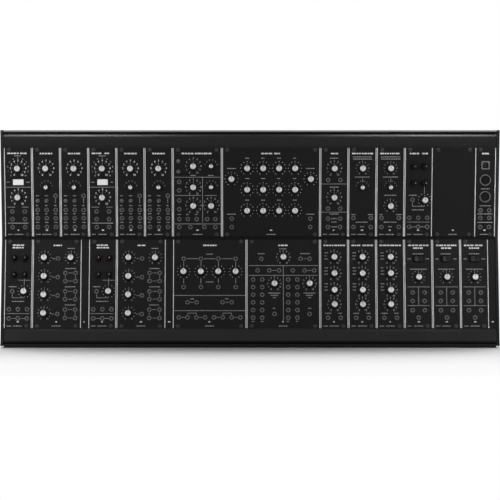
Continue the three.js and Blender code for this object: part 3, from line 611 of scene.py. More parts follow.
def softened(piece, width):
    """Give a finished piece rounded edges."""
    bevel = piece.modifiers.new("rounded edges", "BEVEL")
    bevel.width = width
    bevel.segments = 3
    bevel.limit_method = "ANGLE"
    bevel.angle_limit = math.radians(40)
    bevel.harden_normals = True


AT_ORIGIN = Matrix.Identity(4)


def moved(across=0.0, depth=0.0, up=0.0):
    return Matrix.Translation((across, depth, up))


def tipped(angle, axis):
    return Matrix.Rotation(angle, 4, axis)


# Where things are, worked out from the frame


class Case:
    """The case's own lines, as the frame gives them."""

    cheek_low, cheek_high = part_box("left_cheek")
    tray_low, tray_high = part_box("back_tray")
    stand_low, stand_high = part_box("rear_stand")
    bracket_low, bracket_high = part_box("stand_bracket")
    inlet_low, inlet_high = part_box("power_inlet")
    bus_low, bus_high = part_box("power_bus_board")
    mat_low, mat_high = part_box("base_mat")
    half_height = (cheek_high.z - cheek_low.z) / 2
    middle_height = (cheek_high.z + cheek_low.z) / 2
    left = tray_low.x
    right = tray_high.x
    back = cheek_high.y

    @classmethod
    def row_frame(cls, rack, side):
        """The frame of the upper (1) or lower (-1) row: Y back from the panels' front, Z along them."""
        seam = cls.tray_low.y + math.tan(rack.row_lean) * cls.half_height
        return moved(0, seam, cls.middle_height) @ tipped(side * rack.row_lean, "X")


class Panel:
    """One panel: its kind and number, its frame at the middle of its lower edge, and its width."""

    def __init__(self, rack, kind, number, place):
        self.rack = rack
        self.kind = kind
        self.number = number
        self.place = place
        self.cell = KINDS[kind]["pitches"] * rack.pitch
        self.width = self.cell - rack.panel_gap

    def part(self, name):
        """The name of its turning knob or of its rocker."""
        return f"{self.kind}{self.number}_{name}"

    def spots(self, control):
        shares = KINDS[self.kind].get(control, [])
        return [(across * self.cell, up * self.rack.panel_height) for across, up in shares]

    def at(self, spot, depth=0.0):
        return self.place @ moved(spot[0], depth, spot[1])

    def places(self, *controls):
        return [self.at(spot) for control in controls for spot in self.spots(control)]

    def screw_places(self):
        """One in the upper left and lower right corner, and in all four corners of a wide panel."""
        side = self.width / 2 - self.rack.screw_inset
        low = self.rack.screw_drop
        top = self.rack.panel_height - low
        spots = [(-side, top), (side, low), (side, top), (-side, low)]
        pitches = KINDS[self.kind]["pitches"]
        count = 0 if self.kind == "strip" else 2 if pitches < KINDS["blank"]["pitches"] else 4
        return [self.at(spot) for spot in spots[:count]]


def units(rack):
    """Each unit's name and its panels, row by row. What there are several of is numbered."""
    kinds = [kind for row in ROWS.values() for unit in row for kind in unit]
    seen = []
    for side, row in ROWS.items():
        base = rack.row_gap / 2 if side > 0 else -rack.row_gap / 2 - rack.panel_height
        left = Case.left
        for unit in row:
            panels = []
            for kind in unit:
                seen.append(kind)
                number = f"_{seen.count(kind)}" if kinds.count(kind) > 1 else ""
                cell = KINDS[kind]["pitches"] * rack.pitch
                place = Case.row_frame(rack, side) @ moved(left + cell / 2, 0, base)
                panels.append(Panel(rack, kind, number, place))
                left += cell
            first = panels[0]
            yield UNIT_NAMES.get(first.kind, f"{first.kind}_module") + first.number, panels


def unit_pieces(rack, control):
    """A new piece for each unit that has such controls, with their places."""
    for unit, panels in units(rack):
        places = [place for panel in panels for place in panel.places(control)]
        if places:
            yield Piece(f"{unit}_{control}"), places


def rocker_size(controls, kind, clearance=0.0):
    if kind == "driver":
        size = controls.white_length, controls.white_width
    else:
        size = controls.black_length, controls.black_width
    return [side + 2 * clearance for side in size]


# Node groups that several finishes share


def node(tree, kind, settings=None, **inputs):
    """A new node with its settings and its inputs, which are values or other nodes' outputs."""
    made = tree.nodes.new(kind)
    for setting, value in (settings or {}).items():
        setattr(made, setting, value)
    for name, value in inputs.items():
        socket = made.inputs[int(name[1:])] if name[0] == "i" and name[1:].isdigit() else made.inputs[name]
        if isinstance(value, bpy.types.NodeSocket):
            tree.links.new(value, socket)
        else:
            socket.default_value = value
    return made


def worked(tree, operation, *values):
    """What a math node makes of values or of other nodes' outputs."""
    inputs = {f"i{i}": value for i, value in enumerate(values)}
    return node(tree, "ShaderNodeMath", {"operation": operation}, **inputs).outputs[0]


def ranged(tree, value, start, end, new_start, new_end):
    """The value brought from one range into another and kept inside it."""
    return node(
        tree, "ShaderNodeMapRange", {"clamp": True},
        Value=value, i1=start, i2=end, i3=new_start, i4=new_end).outputs[0]


def grain_group():
    """Fine grain and broad, faint patches, in the piece's own coordinates and in real sizes."""
    if "surface_grain" in bpy.data.node_groups:
        return bpy.data.node_groups["surface_grain"]
    tree = bpy.data.node_groups.new("surface_grain", "ShaderNodeTree")
    for socket, value in (("Grain Size", 0.4 * MM), ("Patch Size", 30 * MM), ("Stretch", 1.0)):
        made = tree.interface.new_socket(socket, in_out="INPUT", socket_type="NodeSocketFloat")
        made.default_value = value
    for socket in ("Grain", "Patches"):
        tree.interface.new_socket(socket, in_out="OUTPUT", socket_type="NodeSocketFloat")
    given = tree.nodes.new("NodeGroupInput").outputs
    result = tree.nodes.new("NodeGroupOutput").inputs
    place = node(tree, "ShaderNodeTexCoord").outputs["Object"]
    squeeze = worked(tree, "DIVIDE", 1.0, given["Stretch"])
    along = node(tree, "ShaderNodeCombineXYZ", X=squeeze, Y=1.0, Z=1.0)
    drawn = node(tree, "ShaderNodeVectorMath", {"operation": "MULTIPLY"}, i0=place, i1=along.outputs[0])
    for output, size, detail in (("Grain", "Grain Size", 3.0), ("Patches", "Patch Size", 4.0)):
        rate = worked(tree, "DIVIDE", 1.0, given[size])
        noise = node(tree, "ShaderNodeTexNoise", Vector=drawn.outputs[0], Scale=rate, Detail=detail)
        tree.links.new(noise.outputs["Fac"], result[output])
    return tree


# Each finish: its colour, its roughness, and what differs from the usual settings. Grain, depth and patch
# are in millimetres. Shade is how much the colour varies, and gloss how much the roughness does.
USUAL = dict(
    metallic=0.0, specular=0.5, grain=0.3, depth=0.02, patch=25.0, shade=0.12, gloss=0.06, stretch=1.0)
FINISHES = {
    "powder_coat": ("case", 0.4, dict(
        specular=0.15, grain=0.45, depth=0.03, patch=60, shade=0.1, gloss=0.04)),
    "panel_black": ("panel", 0.5, dict(
        specular=0.1, grain=0.18, depth=0.012, patch=35, shade=0.15, gloss=0.05)),
    "rail_black": ("rail", 0.45, dict(specular=0.06, grain=0.12, depth=0.01, patch=40, stretch=30.0)),
    "lip_satin": ("rail", 0.25, dict(specular=0.2, grain=0.12, depth=0.003, patch=40, gloss=0.03)),
    "panel_ink": ("ink", 0.55, dict(specular=0.3, grain=0.15, depth=0.01, patch=12, shade=0.08)),
    "fine_ink": ("fine_ink", 0.6, dict(specular=0.2, grain=0.15, depth=0.01, patch=12, shade=0.1)),
    "silver_cap": ("silver", 0.34, dict(metallic=0.75, grain=0.1, depth=0.008, patch=3, shade=0.05)),
    "black_plastic": ("black_plastic", 0.36, dict(specular=0.1, grain=0.2, depth=0.012, patch=8)),
    "white_plastic": ("white_plastic", 0.33, dict(grain=0.25, depth=0.01, patch=9, shade=0.03)),
    "grey_plastic": ("grey_plastic", 0.35, dict(specular=0.1, grain=0.25, depth=0.012, patch=9)),
    "red_plastic": ("red_plastic", 0.38, dict(specular=0.06, grain=0.2, depth=0.012, patch=6)),
    "blue_plastic": ("blue_plastic", 0.38, dict(specular=0.06, grain=0.2, depth=0.012, patch=6)),
    "nickel_plate": ("nickel", 0.32, dict(metallic=1.0, grain=0.08, depth=0.006, patch=4, shade=0.1)),
    "dark_steel": ("dark_steel", 0.42, dict(
        metallic=0.6, specular=0.25, grain=0.1, depth=0.01, patch=4, shade=0.15)),
    "brass_pin": ("brass", 0.3, dict(metallic=1.0, grain=0.08, depth=0.005, patch=4, shade=0.08)),
    "mat_rubber": ("rubber", 0.82, dict(specular=0.25, grain=0.5, depth=0.06, patch=20, shade=0.2)),
    "board_green": ("board", 0.32, dict(grain=1.3, patch=14, shade=0.35)),
}


def finish(name):
    """The Principled finish of that name, whose colour, roughness and relief vary as real ones do."""
    if name in bpy.data.materials:
        return bpy.data.materials[name]
    key, roughness, settings = FINISHES[name]
    base = getattr(bpy.context.scene.synth_colours, key)
    look = {**USUAL, **settings}
    material = bpy.data.materials.new(name)
    material.use_nodes = True
    tree = material.node_tree
    shader = tree.nodes["Principled BSDF"]
    sizes = {"Grain Size": look["grain"] * MM, "Patch Size": look["patch"] * MM, "Stretch": look["stretch"]}
    surface = node(tree, "ShaderNodeGroup", {"node_tree": grain_group()}, **sizes)
    grain, patches = (surface.outputs[name] for name in ("Grain", "Patches"))
    spread = ranged(tree, worked(tree, "MULTIPLY_ADD", grain, 0.5, patches), 0.5, 1.0, 0.0, 1.0)
    tint = node(tree, "ShaderNodeMix", {"data_type": "RGBA"}, i0=spread)
    for socket, share in ((6, 1 - look["shade"]), (7, 1 + look["shade"])):
        tint.inputs[socket].default_value = [min(channel * share, 1.0) for channel in base] + [1.0]
    tree.links.new(tint.outputs[2], shader.inputs["Base Color"])
    rough = ranged(tree, patches, 0.3, 0.7, roughness - look["gloss"], roughness + look["gloss"])
    tree.links.new(rough, shader.inputs["Roughness"])
    bump = node(tree, "ShaderNodeBump", Strength=1.0, Distance=look["depth"] * MM, Height=grain)
    tree.links.new(bump.outputs[0], shader.inputs["Normal"])
    shader.inputs["Metallic"].default_value = look["metallic"]
    shader.inputs["Specular IOR Level"].default_value = look["specular"]
    return material


# Panels and printing

WINDOW_CORNER = 0.6 * MM        # of a rocker's window


def build_panels(rack, controls):
    for unit, panels in units(rack):
        piece = Piece(f"{unit}_panel")
        for panel in panels:
            holes = [disc(*spot, controls.nut_radius - 0.5 * MM) for spot in panel.spots("jacks")]
            holes += [disc(*spot, controls.din_insert) for spot in panel.spots("dins")]
            holes += [tablet(*spot, *[controls.port_mouth] * 2, 0.4 * MM) for spot in panel.spots("port")]
            holes += [disc(*spot, controls.shaft_radius + MM) for spot in panel.spots("turning")]
            window = rocker_size(controls, panel.kind, controls.rocker_clearance)
            holes += [tablet(*spot, *window, WINDOW_CORNER) for spot in panel.spots("rocker")]
            outline = tablet(0, rack.panel_height / 2, panel.width, rack.panel_height, rack.panel_corner)
            piece.slab(panel.place, outline, 0, rack.panel_thickness, holes, rack.panel_chamfer)
        piece.finish("black_panel", "panel_black", replaced=unit)


NUMBER_GLYPHS = {}
DIGIT_HEIGHT = 0.7      # of the built-in font's numbers, as a share of its size
KNOB_SPAN = 150         # degrees that the numbers run to either side of the top
RIM_SPAN = 135
SELECTOR_SPAN = 75


def number_glyph(text):
    """The flat mesh of a number, one unit high, made once from the built-in font."""
    if text not in NUMBER_GLYPHS:
        font = bpy.data.curves.new("number", "FONT")
        font.body = text
        font.align_x = "CENTER"
        font.align_y = "CENTER"
        font.resolution_u = 2
        font.extrude = 0.05
        font.offset = 0.02
        sample = linked("number", font)
        mesh = bpy.data.meshes.new_from_object(sample)
        points = [tuple(corner.co) for corner in mesh.vertices]
        faces = [tuple(face.vertices) for face in mesh.polygons]
        NUMBER_GLYPHS[text] = merged(points, faces)
        bpy.data.objects.remove(sample)
        bpy.data.curves.remove(font)
        bpy.data.meshes.remove(mesh)
    return NUMBER_GLYPHS[text]


def merged(points, faces):
    """The same mesh with corners that lie at one place made one."""
    kept = {}
    index = [kept.setdefault(tuple(round(value, 4) for value in point), len(kept)) for point in points]
    return list(kept), [tuple(index[i] for i in face) for face in faces]


class Printing(Piece):
    """The ink on a unit's panels: thin raised patches, rooted in the panel that is being printed."""

    panel = None

    def patch(self, outline, slot=FINE):
        rack = self.panel.rack
        self.slab(self.panel.place, outline, -rack.print_height, rack.panel_thickness / 8, slot=slot)

    def words(self, across, up, width, height, chance, slot=FINE):
        """A row of plain bars of uneven lengths, as wide as the lettering that it stands for."""
        gap = height * 0.45
        left = across - width / 2
        right = across + width / 2
        while right - left > height:
            reach = min(chance.uniform(1.0, 3.0) * height, right - left)
            self.patch(tablet(left + reach / 2, up, reach, height, height / 5, 2), slot)
            left += reach + gap

    def dial(self, spot, radius, numbers, span, share, tick=0.0, slot=FINE, taken=()):
        """Numbers on an arc round a control, or dots, and ticks where their radius is given."""
        size = share * self.panel.rack.number_height / DIGIT_HEIGHT
        for i, number in enumerate(numbers):
            if i in taken:
                continue
            turn = math.radians(-span + 2 * span * i / (len(numbers) - 1))
            middle, start, end = [
                (spot[0] + reach * math.sin(turn), spot[1] + reach * math.cos(turn))
                for reach in (radius, tick, tick + MM)]
            if not share:
                self.patch(disc(*middle, 0.5 * MM, 8), PALE)
                continue
            upright = tipped(QUARTER_TURN, "X") @ Matrix.Diagonal((size, size, MM, 1.0))
            self.added(self.panel.at(middle) @ upright, *number_glyph(number), slot=slot)
            if tick:
                self.patch(bar_between(start, end, 0.35 * MM))


def print_marks(piece, rack, panel, unit, chance):
    """The edge bars, the small marks at the foot, and the bars and lines of the panel's kind."""
    edge = panel.width / 2 - rack.panel_chamfer - rack.edge_bar / 2
    high = rack.panel_height - 2 * rack.panel_chamfer
    for side in () if panel.kind in ("strip", "blank") else (-1, 1):
        bar = tablet(side * edge, rack.panel_height / 2, rack.edge_bar, high, 0.2 * MM, 2)
        piece.patch(bar, PALE)
    short = rack.label_height * 3
    piece.words(0, rack.mark_height, short, rack.title_height * 0.8, chance, PALE)
    if panel.kind != "strip":
        piece.words(0, rack.foot_height, 4 * short, rack.label_height, chance)
    if KINDS[panel.kind]["pitches"] == KINDS["driver"]["pitches"]:
        piece.words(-panel.cell * 0.31, rack.foot_height, 2 * short, rack.label_height, chance)
    marks = {**KINDS[panel.kind], **UNIT_PRINT.get(unit, {})}
    for key, height, slot in (("titles", rack.title_height, PALE), ("labels", rack.label_height, FINE)):
        for across, up, *width in marks.get(key, []):
            wide = width[0] * panel.cell if width else 4 * rack.label_height
            piece.words(across * panel.cell, up * rack.panel_height, wide, height, chance, slot)
    for line in marks.get("lines", []):
        ends = [(line[i] * panel.cell, line[i + 1] * rack.panel_height) for i in (0, 2)]
        piece.patch(bar_between(*ends, rack.line_width))


def print_dials(piece, controls, panel):
    """The dials of the knobs and selectors. The last knob of an envelope has room for all its numbers."""
    scale = [str(number) for number in range(11)]
    slot = PALE if panel.kind in BANK else FINE
    share, gap, taken = KINDS[panel.kind].get("dials", (0, 0, ()))
    radius = controls.knob_skirt + gap * MM
    tick = controls.knob_skirt + 0.9 * MM
    for i, spot in enumerate(panel.spots("turning") + panel.spots("knobs")):
        free = panel.kind == "envelope" and i == 3
        piece.dial(spot, radius, scale, KNOB_SPAN, share, tick, slot, () if free else taken)
    for spot in panel.spots("selectors"):
        piece.dial(spot, controls.selector_foot + 4.4 * MM, scale[1:7], SELECTOR_SPAN, 0.8)
    if panel.kind == "driver":
        piece.dial(panel.spots("turning")[0], radius + 3.9 * MM, scale, RIM_SPAN, 1.0)


def build_printing(rack, controls):
    chance = random.Random(PRINTING_SEED)
    for unit, panels in units(rack):
        piece = Printing(f"{unit}_printing")
        for panel in panels:
            piece.panel = panel
            print_marks(piece, rack, panel, unit, chance)
            print_dials(piece, controls, panel)
        piece.finish("black_panel", "panel_ink", "fine_ink")


# Controls


def screw_head(piece, place, radius, height, slot=0):
    """A flat screw head with a rounded rim and a cross recess."""
    arm = radius * 0.62
    half = radius * 0.13
    cross = []
    for quarter in range(4):
        turn = Matrix.Rotation(quarter * QUARTER_TURN, 2)
        cross += [tuple(turn @ Vector(corner)) for corner in ((half, half), (arm, half), (arm, -half))]
    cross.sort(key=lambda point: math.atan2(point[1], point[0]))
    rim = [piece.ring([(x, depth, z) for x, z in disc(0, 0, reach)], place) for reach, depth in (
        (radius * 0.8, -height), (radius * 0.95, -height * 0.82), (radius, -height * 0.5), (radius, 0.0))]
    mouth = piece.ring([(x, -height, z) for x, z in cross], place)
    floor = piece.ring([(x * 0.8, -height * 0.35, z * 0.8) for x, z in cross], place)
    piece.fill([rim[0], mouth], slot)
    piece.band(mouth, floor, slot)
    piece.fill([floor], slot)
    for near, far in zip(rim, rim[1:]):
        piece.band(near, far, slot)
    piece.fill([rim[-1]], slot)


def build_screws(rack):
    chance = random.Random(SCREWS_SEED)
    for unit, panels in units(rack):
        piece = Piece(f"{unit}_screws")
        for place in [place for panel in panels for place in panel.screw_places()]:
            turn = tipped(chance.uniform(0, QUARTER_TURN), "Y")
            screw_head(piece, place @ turn, rack.screw_radius, rack.screw_height)
        piece.finish("black_panel", "dark_steel")


def build_jacks(rack, controls):
    """Jack sockets: the ring nut with its chamfers, the bore for the plug, and the sleeve behind."""
    nut = controls.nut_radius
    high = controls.nut_height
    bore = controls.jack_bore
    deep = controls.jack_depth
    sleeve = nut - 0.7 * MM
    profile = (
        (0, deep + MM), (sleeve, deep + MM), (sleeve, 0.1 * MM), (nut, 0.1 * MM),
        (nut, 0.3 * MM - high, 0, 0.16 * MM), (nut - 0.35 * MM, -high), (bore + 0.9 * MM, -high),
        (bore + 0.7 * MM, 0.25 * MM - high), (bore + 0.2 * MM, 0.25 * MM - high),
        (bore, 0.45 * MM - high), (bore, deep, 1), (0, deep, 1))
    for piece, places in unit_pieces(rack, "jacks"):
        for place in places:
            piece.turned(place, profile, 36, 18)
        piece.finish("black_panel", *SOCKET_FINISHES[:2])


def knob_profile(controls, skirt, body, cap, height, bored):
    """Silver cap with fine turned rings, grooved body, flared skirt, and the bore for the shaft."""
    rings = 5
    profile = [(0, -height, 1)]
    for i in range(1, rings + 1):
        reach = cap * i / (rings + 0.4)
        sink = 0.4 * MM * (reach / cap) ** 2 - height
        profile += [(reach, sink, 1), (reach + 0.1 * MM, sink + 0.08 * MM, 1),
                    (reach + 0.2 * MM, sink + 0.04 * MM, 1)]
    foot = controls.knob_standoff
    profile += [
        (cap, 0.4 * MM - height, 1), (cap + 0.1 * MM, 0.6 * MM - height, 1),
        (cap + 0.3 * MM, 0.8 * MM - height, 0, 0.12 * MM), (body, -3.1 * MM, 0, 0.3 * MM),
        (body + 0.1 * MM, -2.4 * MM), (body + 0.5 * MM, -2 * MM), (skirt - 0.35 * MM, -1.85 * MM),
        (skirt, -1.5 * MM), (skirt, -foot - 0.15 * MM), (skirt - 0.2 * MM, -foot),
    ]
    if bored:
        bore = controls.shaft_radius + 0.55 * MM
        depth = -controls.shaft_length - 0.3 * MM
        profile += [(bore, -foot), (bore, depth), (0, depth)]
    else:
        profile += [(controls.shaft_radius, -foot), (controls.shaft_radius, 0.2 * MM), (0, 0.2 * MM)]
    return profile


def knob(piece, controls, place, skirt, body, cap, height, bored=False, sides=60, ripples=20):
    """A knob with the groove in its cap and the mark on its skirt."""
    piece.turned(place, knob_profile(controls, skirt, body, cap, height, bored), sides, ripples)
    groove = tablet(0, cap * 0.52, 0.5 * MM, cap * 0.86, 0.2 * MM, 2)
    piece.slab(place, groove, -height - 0.05 * MM, 0.3 * MM - height, slot=0)
    mark = tablet(0, (skirt + body) / 2 + 0.25 * MM, 0.7 * MM, skirt - body - 0.7 * MM, 0.2 * MM, 2)
    piece.slab(place, mark, -1.95 * MM, -1.5 * MM, slot=2)


def build_knobs(rack, controls):
    large = (controls.knob_skirt, controls.knob_body, controls.knob_cap, controls.knob_height)
    cap = controls.selector_cap
    small = (controls.selector_foot, cap + 0.7 * MM, cap, controls.small_height)
    for unit, panels in units(rack):
        fixed = Piece(f"{unit}_knobs")
        for panel in panels:
            for place in panel.places("turning"):
                name = panel.part("knob")
                piece = Piece(f"{name}_turning")
                knob(piece, controls, place, *large, bored=True)
                piece.finish("silver_knob", *KNOB_FINISHES, body=name, replaced=name)
            for place in panel.places("knobs"):
                knob(fixed, controls, place, *large)
            for place in panel.places("selectors"):
                knob(fixed, controls, place, *small, sides=48, ripples=16)
        if len(fixed.mesh.verts):
            fixed.finish("silver_knob", *KNOB_FINISHES)


def build_small_knobs(rack, controls):
    """Dark coloured knobs with a pale dot: three red ones and a blue one on each module."""
    foot = controls.small_foot
    high = controls.small_height
    for piece, places in unit_pieces(rack, "small_knobs"):
        for i, place in enumerate(places):
            tint = 1 if i < 3 else 2
            piece.turned(place, (
                (0, 0.3 * MM - high, tint), (2.6 * MM, 0.1 * MM - high, tint), (3.5 * MM, -high, tint),
                (3.9 * MM, 0.2 * MM - high, tint), (4.1 * MM, 0.8 * MM - high, 0, 0.2 * MM),
                (foot - 0.1 * MM, -1.4 * MM, 0, 0.3 * MM), (foot, -MM), (foot, -0.6 * MM),
                (controls.shaft_radius, -0.6 * MM), (controls.shaft_radius, 0.2 * MM), (0, 0.2 * MM)),
                48, 16)
            dot = disc(1.6 * MM, 0.6 * MM, 0.55 * MM, 12)
            piece.slab(place, dot, -high - 0.02 * MM, 0.6 * MM - high, slot=3)
        piece.finish("silver_knob", "black_plastic", "red_plastic", "blue_plastic", "panel_ink")


def build_toggles(rack, controls):
    """Toggles with a six-sided nut and a bat that leans up or down in turns."""
    radius = controls.toggle_radius
    tip = -controls.toggle_length
    bat = (
        (0, tip), (radius * 0.6, tip + 0.15 * MM), (radius * 0.92, tip + 0.6 * MM),
        (radius, tip + 1.4 * MM), (radius * 0.6, -1.6 * MM), (radius * 0.6, -0.4 * MM), (0, -0.4 * MM))
    nut = (
        (0, 0.1 * MM), (3.1 * MM, 0.1 * MM), (3.1 * MM, -0.9 * MM), (2.8 * MM, -1.2 * MM),
        (1.9 * MM, -1.2 * MM), (1.7 * MM, -0.5 * MM), (0, -0.3 * MM, 1))
    for piece, places in unit_pieces(rack, "toggles"):
        for i, place in enumerate(places):
            piece.turned(place, nut, 6)
            piece.turned(place @ tipped(math.radians(12 if i % 2 else -12), "X"), bat, 20)
        piece.finish("black_panel", *SOCKET_FINISHES[:2])


def rocker_section(controls, long):
    """A rocker's side view, drawn as (depth, along): its face dips smoothly between rounded ends."""
    half = long / 2
    steps = 12
    face = []
    for i in range(steps + 1):
        along = -1 + 2 * i / steps
        dip = controls.rocker_dip * (0.5 + 0.5 * math.cos(math.pi * along))
        round_off = 0.5 * MM * abs(along) ** 16
        face.append((dip - controls.rocker_rise + round_off, along * half))
    return [(controls.rocker_drop, half * 0.85), (controls.rocker_drop, -half * 0.85)] + face


def rocker(name, place, size, controls, plastic, slot, marked=False):
    """A rocker, with a line and a ring on its ends where it is marked."""
    long, wide = size
    piece = Piece(f"{name}_cap")
    piece.drawn(place, rocker_section(controls, long), -wide / 2, wide / 2)
    if marked:
        face = place @ tipped(QUARTER_TURN, "Y")
        rise = 0.35 * MM - controls.rocker_rise
        line = tablet(-long * 0.3, 0, 0.7 * MM, wide * 0.4, 0.2 * MM, 2)
        ring = disc(long * 0.3, 0, wide * 0.2, 24)
        hole = disc(long * 0.3, 0, wide * 0.12, 24)
        for outline, holes in ((line, []), (ring, [hole])):
            piece.slab(face, outline, rise - 0.15 * MM, rise + 0.6 * MM, holes, slot=1)
    finishes = [plastic, "panel_ink"] if marked else [plastic]
    softened(piece.finish(slot, *finishes, body=name, replaced=name), 0.35 * MM)


def build_rockers(rack, controls):
    lying = tipped(QUARTER_TURN, "Y") @ tipped(-controls.rocker_tilt, "X")
    border = 2 * MM
    for _, panels in units(rack):
        for panel in panels:
            for spot in panel.spots("rocker"):
                name = panel.part("rocker")
                plastic, slot = "grey_plastic", "black_switch"
                if panel.kind == "driver":
                    plastic, slot = "white_plastic", "white_switch"
                pivot = panel.at(spot, rack.panel_thickness / 2) @ lying
                rocker(name, pivot, rocker_size(controls, panel.kind), controls, plastic, slot)
                long, wide = rocker_size(controls, panel.kind, controls.rocker_clearance)
                bezel = Piece(f"{name}_bezel")
                outline = tablet(0, 0, long + border, wide + border, 1.2 * MM)
                window = tablet(0, 0, long, wide, WINDOW_CORNER)
                bezel.slab(panel.at(spot), outline, -0.9 * MM, 0.1 * MM, [window], 0.25 * MM)
                bezel.finish("black_switch", "black_plastic")


def round_socket(piece, controls, place):
    """The rim, the insert with its pin holes and key notch, and the plate behind."""
    inner = controls.din_insert
    outer = controls.din_radius
    top = -controls.din_rise
    piece.turned(place, (
        (inner - 0.4 * MM, 0.4 * MM, 1), (inner - 0.4 * MM, top + 0.2 * MM, 1), (inner, top, 1),
        (outer - 1.5 * MM, top, 1), (outer - 1.3 * MM, top + 0.15 * MM, 1), (outer - 1.1 * MM, top),
        (outer - 0.3 * MM, top), (outer, top + 0.3 * MM), (outer, 0.1 * MM),
        (inner + 0.2 * MM, 0.1 * MM, 1), (inner + 0.2 * MM, 0.4 * MM, 1),
        (inner - 0.4 * MM, 0.4 * MM, 1)), 48)
    holes = [disc(x, z, 0.75 * MM, 12) for x, z in arc(0, 0, 4 * MM, 0, 180, 4)]
    holes.append(tablet(0, -4.9 * MM, 1.8 * MM, 1.3 * MM, 0.3 * MM, 2))
    insert = disc(0, 0, inner - 0.6 * MM, 40)
    piece.slab(place, insert, 0.3 * MM, 6 * MM, holes, 0.15 * MM, slot=1)
    piece.slab(place, insert, 6.2 * MM, 7 * MM, slot=1)


def data_port(piece, controls, place):
    """The square shell with its mouth, and the tongue with four contacts inside."""
    half = controls.port_mouth / 2
    bevel = controls.port_mouth * 0.28
    size = controls.port_size
    rear = controls.port_depth
    shell = tablet(0, 0, size, size, 0.8 * MM)
    top = 0.6 * half
    mouth = [(-half, -half), (half, -half), (half, bevel), (top, half), (-top, half), (-half, bevel)]
    piece.slab(place, shell, -MM, rear - 2 * MM, [mouth], 0.25 * MM)
    piece.slab(place, shell, rear - 1.9 * MM, rear, slot=1)
    tongue = tablet(0, 0, 5.6 * MM, 3.2 * MM, 0.4 * MM, 2)
    piece.slab(place, tongue, rear - 6.5 * MM, rear - 1.8 * MM, slot=1)
    for across, up in grid((-1.3 * MM, 1.3 * MM), (-1.75 * MM, 1.75 * MM)):
        contact = tablet(across, up, 1.1 * MM, 0.3 * MM, 0.1 * MM, 1)
        piece.slab(place, contact, rear - 6 * MM, rear - 1.8 * MM, slot=2)


def build_sockets(rack, controls):
    for unit, panels in units(rack):
        for panel in panels:
            for i, place in enumerate(panel.places("dins")):
                piece = Piece(f"{unit}_round_socket_{i + 1}")
                round_socket(piece, controls, place)
                piece.finish("black_panel", *SOCKET_FINISHES[:2])
            for place in panel.places("port"):
                piece = Piece(f"{unit}_data_port")
                data_port(piece, controls, place)
                piece.finish("black_panel", *SOCKET_FINISHES)


# Behind the panels


def pin_header(piece, place, rows, high):
    """A shrouded socket for a ribbon lead, with its two columns of pins."""
    pitch = 2.54 * MM
    wide = 2 * pitch + 3 * MM
    tall = rows * pitch + 3 * MM
    wall = 2.4 * MM
    shroud = tablet(0, 0, wide, tall, 0.4 * MM, 2)
    mouth = tablet(0, 0, wide - wall, tall - wall, 0.3 * MM, 1)
    piece.slab(place, shroud, -high, -MM, [mouth], 0.2 * MM, slot=1)
    piece.slab(place, shroud, -1.1 * MM, 0, slot=1)
    for column in range(2):
        for row in range(rows):
            spot = ((column - 0.5) * pitch, (row - (rows - 1) / 2) * pitch)
            pin = tablet(*spot, 0.64 * MM, 0.64 * MM, 0.1 * MM, 1)
            piece.slab(place, pin, 0.8 * MM - high, -MM, chamfer=0.15 * MM, slot=3)


def pot(piece, rack, controls, place, front, reach):
    """A control's body between panel and board, with its collar and shaft."""
    body = tablet(0, 0, 9.5 * MM, 10.5 * MM, 0.8 * MM, 2)
    piece.slab(place, body, front + 2 * MM, rack.board_depth, chamfer=0.3 * MM, slot=1)
    radius = controls.shaft_radius
    collar = 4 * MM
    piece.turned(place, (
        (0, reach), (radius - 0.3 * MM, reach), (radius, reach + 0.3 * MM), (radius, front + 0.1 * MM),
        (collar, front + 0.1 * MM), (collar, front + 2 * MM), (0, front + 2 * MM)), 20)


def build_boards(rack, controls):
    """Each unit's circuit board with the pots and jack bodies that carry it, and its ribbon socket."""
    front = rack.panel_thickness + 0.1 * MM
    rear = rack.board_depth + rack.board_thickness
    jack_body = tablet(0, 0, 8 * MM, 8 * MM, 0.6 * MM, 2)
    jack_hole = disc(0, 0, controls.nut_radius - 0.6 * MM)
    jack_rear = controls.jack_depth + 1.1 * MM
    for unit, panels in units(rack):
        piece = Piece(f"{unit}_board")
        first = panels[0]
        whole = sum(panel.cell for panel in panels)
        middle = (whole - first.cell) / 2
        high = 0.8 * rack.panel_height
        outline = tablet(middle, rack.panel_height / 2, whole - 2 * rack.board_margin, high, 1.5 * MM)
        piece.slab(first.place, outline, rack.board_depth, rear, chamfer=0.1 * MM)
        for panel in panels:
            for place in panel.places("turning"):
                pot(piece, rack, controls, place, front, -controls.shaft_length)
            for place in panel.places("knobs", "selectors", "small_knobs"):
                pot(piece, rack, controls, place, front, front)
            for place in panel.places("jacks"):
                piece.slab(place, jack_body, front, jack_rear, [jack_hole], 0.2 * MM, slot=1)
                piece.slab(place, jack_body, jack_rear + 0.1 * MM, rack.board_depth, slot=1)
        header = first.at((0, rack.panel_height / 2), rear) @ tipped(math.pi, "Z")
        pin_header(piece, header, 5, 7 * MM)
        piece.finish("green_board", *BOARD_FINISHES)


def bus_posts():
    """Where posts hold the bus board, and screws hold the posts, as (across, up)."""
    side = Case.bus_high.x - 20 * MM
    return grid((-side, 0, side), (Case.bus_low.z + 9 * MM, Case.bus_high.z - 9 * MM))


